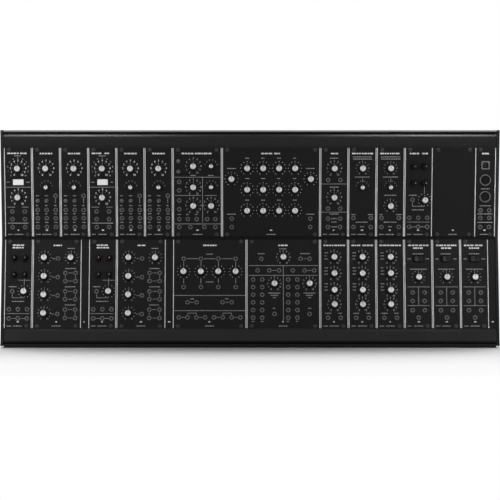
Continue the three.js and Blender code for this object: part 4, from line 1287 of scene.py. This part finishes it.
def build_bus_board(rack):
    """The power bus board with its ribbon sockets, capacitors, perforated supply cage and standoffs."""
    low, high = Case.bus_low, Case.bus_high
    front = high.y - 7 * MM - rack.board_thickness
    wide = high.x - low.x
    tall = high.z - low.z
    place = moved(0, front, (low.z + high.z) / 2)
    piece = Piece("power_bus_board_fitted")
    piece.slab(place, tablet(0, 0, wide, tall, 2 * MM), 0, rack.board_thickness, chamfer=0.1 * MM)
    can = (
        (0, -8.6 * MM, 2), (2.2 * MM, -8.8 * MM, 2), (2.6 * MM, -9 * MM), (3 * MM, -8.7 * MM, 1),
        (3 * MM, 0.1 * MM, 1), (0, 0.1 * MM, 1))
    sockets = 12
    cage_wide = 87 * MM
    step = (wide - cage_wide - 3 * MM) / (sockets + 1)
    for i in range(sockets):
        across = low.x + (i + 1) * step
        pin_header(piece, place @ moved(across), 8, 9 * MM)
        for up in (-22 * MM, 22 * MM):
            piece.turned(place @ moved(across, 0, up), can, 20)
    cage = place @ moved(high.x - 3 * MM - cage_wide / 2)
    slits = [tablet(x * MM, up * MM, 2 * MM, 12 * MM, MM) for x, up in grid(range(-35, 36, 5), (-11, 11))]
    outline = tablet(0, 0, cage_wide, 48 * MM, 2 * MM)
    hollow = tablet(0, 0, cage_wide - 2.4 * MM, 45.6 * MM, MM)
    lid = low.y - front
    piece.slab(cage, outline, lid, lid + 1.2 * MM, slits, 0.3 * MM, slot=2)
    piece.slab(cage, outline, lid + 1.2 * MM, 0, [hollow], slot=2)
    behind = rack.board_thickness + 0.05 * MM
    wall = high.y - front
    for across, up in bus_posts():
        post = moved(across, front, up)
        screw_head(piece, post, 3 * MM, 1.6 * MM, 2)
        piece.turned(post, ((0, behind, 2), (3 * MM, behind, 2), (3 * MM, wall, 2), (0, wall, 2)), 6)
    piece.finish("green_board", *BOARD_FINISHES, replaced="power_bus_board")


# Case

VENTS = 5       # slots above each other on either side of the back


def tray_section(case):
    """The tray's side view as (depth, up), and the numbers of the two skins of its back wall."""
    low, high = Case.tray_low, Case.tray_high
    inner = case.bend - case.wall
    depth = high.y - case.bend
    upper = high.z - case.bend
    lower = low.z + case.bend
    slope = 1.4 * case.wall
    steps = 8
    outside = arc(depth, lower, case.bend, -90, 0, steps) + arc(depth, upper, case.bend, 0, 90, steps)
    outside += [
        (low.y + slope, high.z), (low.y + 0.7 * slope, high.z - 0.2 * MM), (low.y, high.z - case.wall)]
    inside = arc(depth, upper, inner, 90, 0, steps) + arc(depth, lower, inner, 0, -90, steps)
    inside += [(low.y, low.z + case.wall), (low.y, low.z + MM), (low.y + MM, low.z)]
    return outside + inside, (steps, len(outside) + steps)


def back_holes(case):
    """The ventilation slots, the slots for the stand's ears and the hole for the power inlet."""
    gap = 2 * case.seat_gap
    holes = []
    for side in (-1, 1):
        for i in range(VENTS):
            up = Case.middle_height + case.vent_above_middle - i * case.vent_pitch
            holes.append(tablet(
                side * case.vent_from_middle, up, case.vent_length, case.vent_width, case.vent_width / 2))
        holes.append(tablet(
            side * stand_ear_across(case), stand_pivot().z, case.ear_thickness + gap, case.ear_height + gap,
            0.5 * MM, 2))
    low, high = Case.inlet_low, Case.inlet_high
    size = [side - 2 * case.flange + gap for side in (high.x - low.x, high.z - low.z)]
    holes.append(tablet((low.x + high.x) / 2, (low.z + high.z) / 2, *size, 0.8 * MM, 2))
    return holes


def stand_pivot():
    """Where the stand turns, from its joint in the record."""
    for joint in frame["record"]["behaviour"]["joints"]:
        if joint["name"] == "stand_hinge":
            return Vector(joint["pos_m"])
    raise RuntimeError("the record has no joint named stand_hinge")


def stand_ear_across(case):
    return Case.bracket_high.x - 5 * MM - case.ear_thickness / 2


def outer_rail_section(rack, case, side):
    """Side view of an outer rail, with the lip in front and the screw channel behind the panels."""
    seat = rack.panel_thickness + case.seat_gap
    edge = rack.row_gap / 2 + rack.panel_height
    lip_start = edge + case.lip_gap
    lip_end = lip_start + case.lip_height
    slot = edge - rack.screw_drop
    half = case.slot_width / 2
    nose = 0.6 * MM
    fold_turn = 33
    radius, fold_height = case.lip_radius, case.fold_height
    if side < 0:
        radius, fold_height = case.lower_radius, case.lower_fold
    fold = arc(radius, lip_end - fold_height, radius, 180, 180 - fold_turn, 8)
    depth, along = fold[-1]
    fold.append((depth + (lip_end - along) * math.tan(math.radians(fold_turn)), lip_end))
    points = [
        (seat, edge - case.rail_reach), (seat, slot - half), (seat + case.slot_depth, slot - half),
        (seat + case.slot_depth, slot + half), (seat, slot + half), (seat, lip_start),
    ]
    points += arc(nose, lip_start + nose, nose, 270, 180, 4)
    wall = case.rail_wall
    rear = case.rail_depth
    points += fold + [
        (rear, lip_end), (rear, lip_end - wall), (2 * wall, lip_end - wall), (wall, lip_end - fold_height),
        (wall, lip_start + wall), (rear, lip_start + wall), (rear, edge - case.rail_reach),
    ]
    return [(depth, side * along) for depth, along in points]


def middle_rail_section(rack, case):
    """Side view of the middle rail: a shallow V with a screw channel for each row."""
    seat = rack.panel_thickness + case.seat_gap
    along = rack.row_gap / 2
    slot = along + rack.screw_drop
    half_slot = case.slot_width / 2
    half = [
        (seat, slot - half_slot), (seat + case.slot_depth, slot - half_slot),
        (seat + case.slot_depth, slot + half_slot), (seat, slot + half_slot),
        (seat, along + case.rail_reach), (case.rail_depth, along + case.rail_reach),
    ]
    cos = math.cos(rack.row_lean)
    sin = math.sin(rack.row_lean)
    upper = [(depth * cos - up * sin, up * cos + depth * sin) for depth, up in half]
    lower = [(depth, -up) for depth, up in reversed(upper)]
    return [(seat / cos, 0)] + upper + [(case.rail_depth / cos, 0)] + lower


def build_rails(rack, case):
    for name, side in (("top_rail", 1), ("bottom_rail", -1)):
        piece = Piece(f"{name}_lip")
        section = outer_rail_section(rack, case, side)
        piece.drawn(Case.row_frame(rack, side), section, Case.left, Case.right)
        piece.finish("black_case", "lip_satin", replaced=name)
    piece = Piece("middle_rail_bar")
    seam = moved(*Case.row_frame(rack, 1).translation)
    piece.drawn(seam, middle_rail_section(rack, case), Case.left, Case.right)
    piece.finish("rail_metal", "rail_black", replaced="middle_rail")


def build_tray(case):
    """The folded tray, the screws that hold the bus board, and the baffles behind the vents."""
    piece = Piece("back_tray_shell")
    section, walls = tray_section(case)
    piece.drawn(AT_ORIGIN, section, Case.left, Case.right, pierced=(walls, back_holes(case)))
    piece.finish("black_case", "powder_coat", replaced="back_tray")
    screws = Piece("back_tray_screws")
    for across, up in bus_posts():
        screw_head(screws, moved(across, Case.back, up) @ tipped(math.pi, "Z"), 3 * MM, 1.2 * MM)
    screws.finish("black_case", "dark_steel")
    baffles = Piece("vent_baffles")
    front = Case.tray_high.y - case.wall - 8 * MM
    rear = front + 7.9 * MM
    sheet = 1.2 * MM
    top = Case.middle_height + case.vent_above_middle + case.vent_pitch
    foot = top - (VENTS + 1) * case.vent_pitch
    section = [
        (front, foot), (rear, foot), (rear, foot + sheet), (front + sheet, foot + sheet),
        (front + sheet, top - sheet), (rear, top - sheet), (rear, top), (front, top)]
    half = case.vent_length / 2 + 4 * MM
    for middle in (-case.vent_from_middle, case.vent_from_middle):
        baffles.drawn(AT_ORIGIN, section, middle - half, middle + half)
    baffles.finish("black_case", "powder_coat")


def cheek_outline(rack, case):
    """The cheek's side view: its front edge follows the shallow V of the two rows."""
    low, high = Case.cheek_low, Case.cheek_high
    front = Case.tray_low.y - case.cheek_lip
    seam = Case.row_frame(rack, 1).translation
    rear = high.y - case.bend
    corner = 1.2 * MM
    points = arc(front + corner, low.z + corner, corner, 180, 270, 4)
    points += arc(rear, low.z + case.bend, case.bend, -90, 0, 10)
    points += arc(rear, high.z - case.bend, case.bend, 0, 90, 10)
    points += arc(front + corner, high.z - corner, corner, 90, 180, 4)
    return points + [(seam.y - case.cheek_lip, seam.z)]


def build_cheeks(rack, case):
    low, high = Case.cheek_low, Case.cheek_high
    thick = high.x - low.x
    seam = Case.row_frame(rack, 1).translation
    rear = high.y - 12 * MM
    front = Case.tray_low.y + 14 * MM
    sites = [(seam.y + 8 * MM, seam.z), (rear, low.z + 9 * MM), (rear, high.z - 9 * MM)]
    sites += [(front, low.z + 10 * MM), (front, high.z - 10 * MM)]
    holes = [disc(*site, case.cheek_screw) for site in sites]
    for name, outer, inward in (("left_cheek", low.x, 1), ("right_cheek", -low.x, -1)):
        axes = Matrix(((0, inward, 0, outer), (1, 0, 0, 0), (0, 0, 1, 0), (0, 0, 0, 1)))
        piece = Piece(f"{name}_plate")
        piece.slab(
            axes, cheek_outline(rack, case), 0, thick, holes, case.cheek_chamfer, rear_chamfer=0.2 * MM)
        piece.finish("black_case", "powder_coat", replaced=name)
        screws = Piece(f"{name}_screws")
        for across, up in sites:
            place = axes @ moved(across, thick, up)
            screw_head(screws, place, case.cheek_screw - 0.25 * MM, thick - 0.35 * MM)
        screws.finish("black_case", "dark_steel")


def build_base_mat():
    """The ribbed rubber mat under the case."""
    low, high = Case.mat_low, Case.mat_high
    ribs = 16
    step = (high.y - low.y) / ribs
    groove = low.z + 0.8 * MM
    edge = 0.4 * MM
    section = []
    for i in range(ribs):
        start = low.y + i * step
        section += [(start, low.z), (start + step * 0.6, low.z), (start + step * 0.7, groove),
                    (start + step * 0.9, groove)]
    section += [(high.y, low.z), (high.y, high.z - edge), (high.y - edge, high.z)]
    section += [(low.y + edge, high.z), (low.y, high.z - edge)]
    piece = Piece("base_mat_ribbed")
    piece.drawn(AT_ORIGIN, section, low.x, high.x)
    piece.finish("black_rubber", "mat_rubber", replaced="base_mat")


def stand_outline(half, top, foot, bar, corner):
    """The bail seen from behind: two arms that hang from their pins, joined by a bar at the foot."""
    tip = 2 * MM
    inner = 3 * MM
    inside = half - bar
    return (
        arc(corner - half, foot + corner, corner, 180, 270, 10)
        + arc(half - corner, foot + corner, corner, 270, 360, 10)
        + arc(half - tip, top - tip, tip, 0, 90, 4)
        + arc(inside + tip, top - tip, tip, 90, 180, 4)
        + arc(inside - inner, foot + bar + inner, inner, 0, -90, 6)
        + arc(inner - inside, foot + bar + inner, inner, 270, 180, 6)
        + arc(-inside - tip, top - tip, tip, 0, 90, 4)
        + arc(tip - half, top - tip, tip, 90, 180, 4))


def build_stand(case):
    """The fold-out stand with its pins, its rubber sleeves and its stop."""
    low, high = Case.stand_low, Case.stand_high
    pivot = stand_pivot()
    half = high.x - case.pin_length
    thick = case.stand_bar_thickness / 2
    bar = case.stand_bar
    middle = low.z + bar / 2
    place = moved(0, pivot.y)
    outline = stand_outline(half, high.z, low.z, bar, case.stand_corner)
    piece = Piece("rear_stand_bail")
    piece.slab(place, outline, -thick, thick, chamfer=0.8 * MM, rear_chamfer=0.8 * MM)
    stop = tablet(0, middle, 2 * (half - bar), bar - 2 * MM, 2 * MM)
    piece.slab(AT_ORIGIN, stop, low.y, pivot.y - thick + MM, chamfer=0.5 * MM, slot=1)
    radius = case.pin_radius
    reach = case.pin_length
    pin = (
        (0, -reach), (radius - 0.5 * MM, -reach), (radius, 0.5 * MM - reach), (radius, bar / 2),
        (0, bar / 2))
    ring = tablet(0.4 * MM, 0, 2 * thick + 1.2 * MM, bar + 1.4 * MM, 2 * MM)
    for side in (-1, 1):
        piece.turned(moved(side * half, pivot.y, pivot.z) @ tipped(side * QUARTER_TURN, "Z"), pin, 24)
        piece.drawn(place @ moved(side * half * 0.55, 0, middle), ring, -22 * MM, 22 * MM, slot=1)
    piece.finish("black_case", "powder_coat", "mat_rubber", body="stand", replaced="rear_stand")


def build_bracket(case):
    """The plate with two ears that holds the stand's pins."""
    low, high = Case.bracket_low, Case.bracket_high
    pivot = stand_pivot()
    root = low.y + MM
    plate = Piece("stand_bracket_fitted")
    outline = tablet(0, pivot.z, high.x - low.x, high.z - low.z, 2 * MM)
    plate.slab(moved(0, low.y), outline, 0, 2 * MM, chamfer=0.3 * MM)
    tip = 4 * MM
    deep = high.y - root - tip
    half = case.ear_height / 2
    shape = [(0, -half)] + arc(deep, tip - half, tip, -90, 0, 6)
    shape += arc(deep, half - tip, tip, 0, 90, 6) + [(0, half)]
    bore = disc(pivot.y - root, 0, case.pin_radius + 0.35 * MM)
    for side in (-1, 1):
        ear = side * stand_ear_across(case) - case.ear_thickness / 2
        axes = Matrix(((0, 1, 0, ear), (1, 0, 0, root), (0, 0, 1, pivot.z), (0, 0, 0, 1)))
        plate.slab(axes, shape, 0, case.ear_thickness, [bore], 0.5 * MM, rear_chamfer=0.5 * MM)
    plate.finish("black_case", "powder_coat", replaced="stand_bracket")


def build_power_inlet(controls, case):
    """The mains inlet with its blades, and its rocker switch, on the back wall."""
    low, high = Case.inlet_low, Case.inlet_high
    centre = (low + high) / 2
    place = moved(centre.x, high.y, centre.z) @ tipped(math.pi, "Z")
    wide = high.x - low.x
    tall = high.z - low.z
    inner = (wide - 2 * case.flange, tall - 2 * case.flange)
    margin = inner[0] / 2 - 4 * MM
    socket_x = case.socket_width / 2 - margin
    clearance = 2 * controls.rocker_clearance
    window = (case.power_rocker_width + clearance, case.power_rocker_length + clearance)
    switch_x = margin - window[0] / 2
    socket = [(socket_x + x * case.socket_width, y * case.socket_height) for x, y in (
        (-0.5, -0.5), (0.5, -0.5), (0.5, 0.2), (0.32, 0.5), (-0.32, 0.5), (-0.5, 0.2))]
    holes = [socket, tablet(switch_x, 0, *window, WINDOW_CORNER)]
    piece = Piece("power_inlet_fitted")
    piece.slab(place, tablet(0, 0, wide, tall, 3 * MM), 0, case.flange_thickness, holes, 0.4 * MM)
    body = tablet(0, 0, *inner, MM)
    deep = case.socket_depth
    piece.slab(place, body, case.flange_thickness + 0.05 * MM, deep, holes)
    piece.slab(place, body, deep + 0.05 * MM, high.y - low.y)
    for x, up in ((-0.29, -0.12), (0, 0.12), (0.29, -0.12)):
        spot = (socket_x + x * case.socket_width, up * case.socket_height)
        blade = tablet(*spot, 2 * MM, 4 * MM, 0.3 * MM, 2)
        piece.slab(place, blade, deep - 11 * MM, deep, chamfer=0.4 * MM, slot=1)
    for across in (3 * MM - wide / 2, wide / 2 - 3 * MM):
        screw_head(piece, place @ moved(across, 0, tall / 2 - 3 * MM), 1.8 * MM, 0.8 * MM, 2)
    piece.finish("inlet_plastic", "black_plastic", "brass_pin", "dark_steel", replaced="power_inlet")
    turn = tipped(controls.rocker_tilt, "X") @ tipped(math.pi, "Z")
    pivot = moved(centre.x - switch_x, Case.back + case.seat_gap, centre.z) @ turn
    size = (case.power_rocker_length, case.power_rocker_width)
    rocker("power_switch", pivot, size, controls, "grey_plastic", "black_switch", marked=True)


# Light, floor and camera

WHITE = (1.0, 1.0, 1.0, 1.0)
FLOOR_PAINT = (0.82, 0.82, 0.82, 1.0)
WORLD_LIGHT = 0.12
SHADOW_HALF_WIDTH = 0.3         # of the floor's middle, beside which the shadow fades out
SHADOW_FADE = (0.11, 0.46)      # distances over which it does

CAMERA_DISTANCE = 1.886         # in front of the tray's front edge
LENS = 94.2
SENSOR = 36
LENS_SHIFT = -0.0239


def ray_seen(tree):
    """1 for what the camera sees directly, in a reflection or through glass."""
    path = node(tree, "ShaderNodeLightPath")
    seen = path.outputs["Is Camera Ray"]
    for name in ("Is Glossy Ray", "Is Transmission Ray"):
        seen = worked(tree, "MAXIMUM", seen, path.outputs[name])
    return seen


def empty_tree(owner):
    owner.use_nodes = True
    owner.node_tree.nodes.clear()
    return owner.node_tree


def build_world():
    world = bpy.data.worlds.new("studio")
    bpy.context.scene.world = world
    tree = empty_tree(world)
    light = node(tree, "ShaderNodeBackground", Color=WHITE, Strength=WORLD_LIGHT)
    backdrop = node(tree, "ShaderNodeBackground", Color=WHITE, Strength=1.0)
    mixed = node(
        tree, "ShaderNodeMixShader", Fac=ray_seen(tree), i1=light.outputs[0], i2=backdrop.outputs[0])
    node(tree, "ShaderNodeOutputWorld", Surface=mixed.outputs[0])


def build_floor():
    """A white floor that keeps the shadow round the case and runs into the backdrop further out."""
    mesh = bmesh.new()
    bmesh.ops.create_grid(mesh, x_segments=8, y_segments=8, size=6.0)
    data = bpy.data.meshes.new("floor")
    mesh.to_mesh(data)
    mesh.free()
    floor = linked("floor", data)
    material = bpy.data.materials.new("floor_white")
    tree = empty_tree(material)
    place = node(tree, "ShaderNodeSeparateXYZ", i0=node(tree, "ShaderNodeTexCoord").outputs["Object"])
    across, back = (worked(tree, "ABSOLUTE", place.outputs[axis]) for axis in "XY")
    out = worked(tree, "MAXIMUM", worked(tree, "SUBTRACT", across, SHADOW_HALF_WIDTH), back)
    share = worked(tree, "MULTIPLY", ray_seen(tree), ranged(tree, out, *SHADOW_FADE, 0.0, 1.0))
    paint = node(tree, "ShaderNodeBsdfDiffuse", Color=FLOOR_PAINT)
    white = node(tree, "ShaderNodeEmission", Color=WHITE, Strength=1.0)
    mixed = node(tree, "ShaderNodeMixShader", Fac=share, i1=paint.outputs[0], i2=white.outputs[0])
    node(tree, "ShaderNodeOutputMaterial", Surface=mixed.outputs[0])
    data.materials.append(material)
    floor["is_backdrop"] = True


def area_light(name, place, target, width, depth, watts, spread=180):
    lamp = bpy.data.lights.new(name, "AREA")
    lamp.shape = "RECTANGLE"
    lamp.size = width
    lamp.size_y = depth
    lamp.energy = watts
    lamp.spread = math.radians(spread)
    holder = linked(name, lamp)
    holder.location = place
    holder.rotation_euler = (Vector(target) - Vector(place)).to_track_quat("-Z", "Y").to_euler()


def build_camera():
    lens = bpy.data.cameras.new("camera")
    lens.sensor_width = SENSOR
    lens.lens = LENS
    lens.shift_y = LENS_SHIFT
    lens.clip_end = 50
    camera = linked("camera", lens)
    camera.location = (0.0, Case.tray_low.y - CAMERA_DISTANCE, Case.middle_height)
    camera.rotation_euler = (QUARTER_TURN, 0.0, 0.0)
    bpy.context.scene.camera = camera
    bpy.context.scene.view_settings.view_transform = "Standard"


def build_lights():
    middle = (0.0, 0.0, Case.middle_height)
    area_light("overhead_light", (0.0, 0.47, 1.4), (0.0, 0.47, 0.0), 2.2, 0.9, 36)
    for side, name in ((-1, "left"), (1, "right")):
        lip = (side * 0.4, Case.tray_low.y, Case.tray_high.z)
        area_light(f"{name}_key", (side * 0.45, -1.3, 1.25), lip, 0.3, 0.45, 0.5, spread=30)
        area_light(f"{name}_fill", (side * 1.6, -1.8, 0.35), middle, 0.9, 0.6, 15)


def run(context, *builders):
    """Call each builder with the groups of sizes that its parameters name."""
    for build in builders:
        build(*[getattr(context.scene, f"synth_{name}") for name in inspect.signature(build).parameters])
    return {"FINISHED"}


class SYNTH_OT_panels(bpy.types.Operator):
    """Make the panels of all modules"""

    bl_idname = "synth.panels"
    bl_label = "Panels"

    def execute(self, context):
        return run(context, build_panels)


class SYNTH_OT_printing(bpy.types.Operator):
    """Make the edge bars, dials, lines and plain label bars on the panels"""

    bl_idname = "synth.printing"
    bl_label = "Printing"

    def execute(self, context):
        return run(context, build_printing)


class SYNTH_OT_screws(bpy.types.Operator):
    """Make the panel screws"""

    bl_idname = "synth.screws"
    bl_label = "Panel screws"

    def execute(self, context):
        return run(context, build_screws)


class SYNTH_OT_jacks(bpy.types.Operator):
    """Make the jack sockets with their ring nuts"""

    bl_idname = "synth.jacks"
    bl_label = "Jack sockets"

    def execute(self, context):
        return run(context, build_jacks)


class SYNTH_OT_knobs(bpy.types.Operator):
    """Make the knobs, fixed and turning, and the selectors"""

    bl_idname = "synth.knobs"
    bl_label = "Knobs and selectors"

    def execute(self, context):
        return run(context, build_knobs)


class SYNTH_OT_small_knobs(bpy.types.Operator):
    """Make the small coloured knobs"""

    bl_idname = "synth.small_knobs"
    bl_label = "Small knobs"

    def execute(self, context):
        return run(context, build_small_knobs)


class SYNTH_OT_toggles(bpy.types.Operator):
    """Make the toggle switches"""

    bl_idname = "synth.toggles"
    bl_label = "Toggles"

    def execute(self, context):
        return run(context, build_toggles)


class SYNTH_OT_rockers(bpy.types.Operator):
    """Make the panel rockers and their bezels"""

    bl_idname = "synth.rockers"
    bl_label = "Rocker switches"

    def execute(self, context):
        return run(context, build_rockers)


class SYNTH_OT_sockets(bpy.types.Operator):
    """Make the round five-pin sockets and the data port"""

    bl_idname = "synth.sockets"
    bl_label = "Round and square sockets"

    def execute(self, context):
        return run(context, build_sockets)


class SYNTH_OT_boards(bpy.types.Operator):
    """Make the circuit boards behind the panels and the power bus board"""

    bl_idname = "synth.boards"
    bl_label = "Circuit boards"

    def execute(self, context):
        return run(context, build_boards, build_bus_board)


class SYNTH_OT_case(bpy.types.Operator):
    """Make the tray, cheeks, rails and base mat of the case"""

    bl_idname = "synth.case"
    bl_label = "Case"

    def execute(self, context):
        return run(context, build_tray, build_cheeks, build_rails, build_base_mat)


class SYNTH_OT_stand(bpy.types.Operator):
    """Make the fold-out stand and its bracket"""

    bl_idname = "synth.stand"
    bl_label = "Rear stand"

    def execute(self, context):
        return run(context, build_stand, build_bracket)


class SYNTH_OT_power_inlet(bpy.types.Operator):
    """Make the power inlet and its switch"""

    bl_idname = "synth.power_inlet"
    bl_label = "Power inlet"

    def execute(self, context):
        return run(context, build_power_inlet)


class SYNTH_OT_stage(bpy.types.Operator):
    """Set up the floor, the lights, the world and the camera"""

    bl_idname = "synth.stage"
    bl_label = "Stage"

    def execute(self, context):
        return run(context, build_world, build_floor, build_lights, build_camera)


OPERATORS = (
    SYNTH_OT_panels, SYNTH_OT_printing, SYNTH_OT_screws, SYNTH_OT_jacks, SYNTH_OT_knobs,
    SYNTH_OT_small_knobs, SYNTH_OT_toggles, SYNTH_OT_rockers, SYNTH_OT_sockets, SYNTH_OT_boards,
    SYNTH_OT_case, SYNTH_OT_stand, SYNTH_OT_power_inlet, SYNTH_OT_stage,
)
GROUPS = {
    "synth_rack": SynthRackSizes,
    "synth_controls": SynthControlSizes,
    "synth_case": SynthCaseSizes,
    "synth_colours": SynthColours,
}


class SYNTH_PT_pieces(bpy.types.Panel):
    """Lists the synthesizer's pieces, sizes and colours"""

    bl_idname = "SYNTH_PT_pieces"
    bl_label = "Modular synthesizer"
    bl_space_type = "VIEW_3D"
    bl_region_type = "UI"
    bl_category = "Synthesizer"

    def draw(self, context):
        for operator in OPERATORS:
            self.layout.operator(operator.bl_idname)
        for attribute, properties in GROUPS.items():
            box = self.layout.box()
            for name in properties.__annotations__:
                box.prop(getattr(context.scene, attribute), name)


CLASSES = (*GROUPS.values(), *OPERATORS, SYNTH_PT_pieces)


def register():
    for made in CLASSES:
        bpy.utils.register_class(made)
    for attribute, properties in GROUPS.items():
        setattr(bpy.types.Scene, attribute, PointerProperty(type=properties))


def unregister():
    for attribute in GROUPS:
        delattr(bpy.types.Scene, attribute)
    for made in reversed(CLASSES):
        bpy.utils.unregister_class(made)


def main():
    register()
    for operator in OPERATORS:
        name = operator.bl_idname.split(".")[1]
        getattr(bpy.ops.synth, name)()
    bpy.context.view_layer.update()
    boxes = [[[*corner] for corner in box] for box in (CAD_BOX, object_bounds())]


if __name__ == "__main__":
    main()
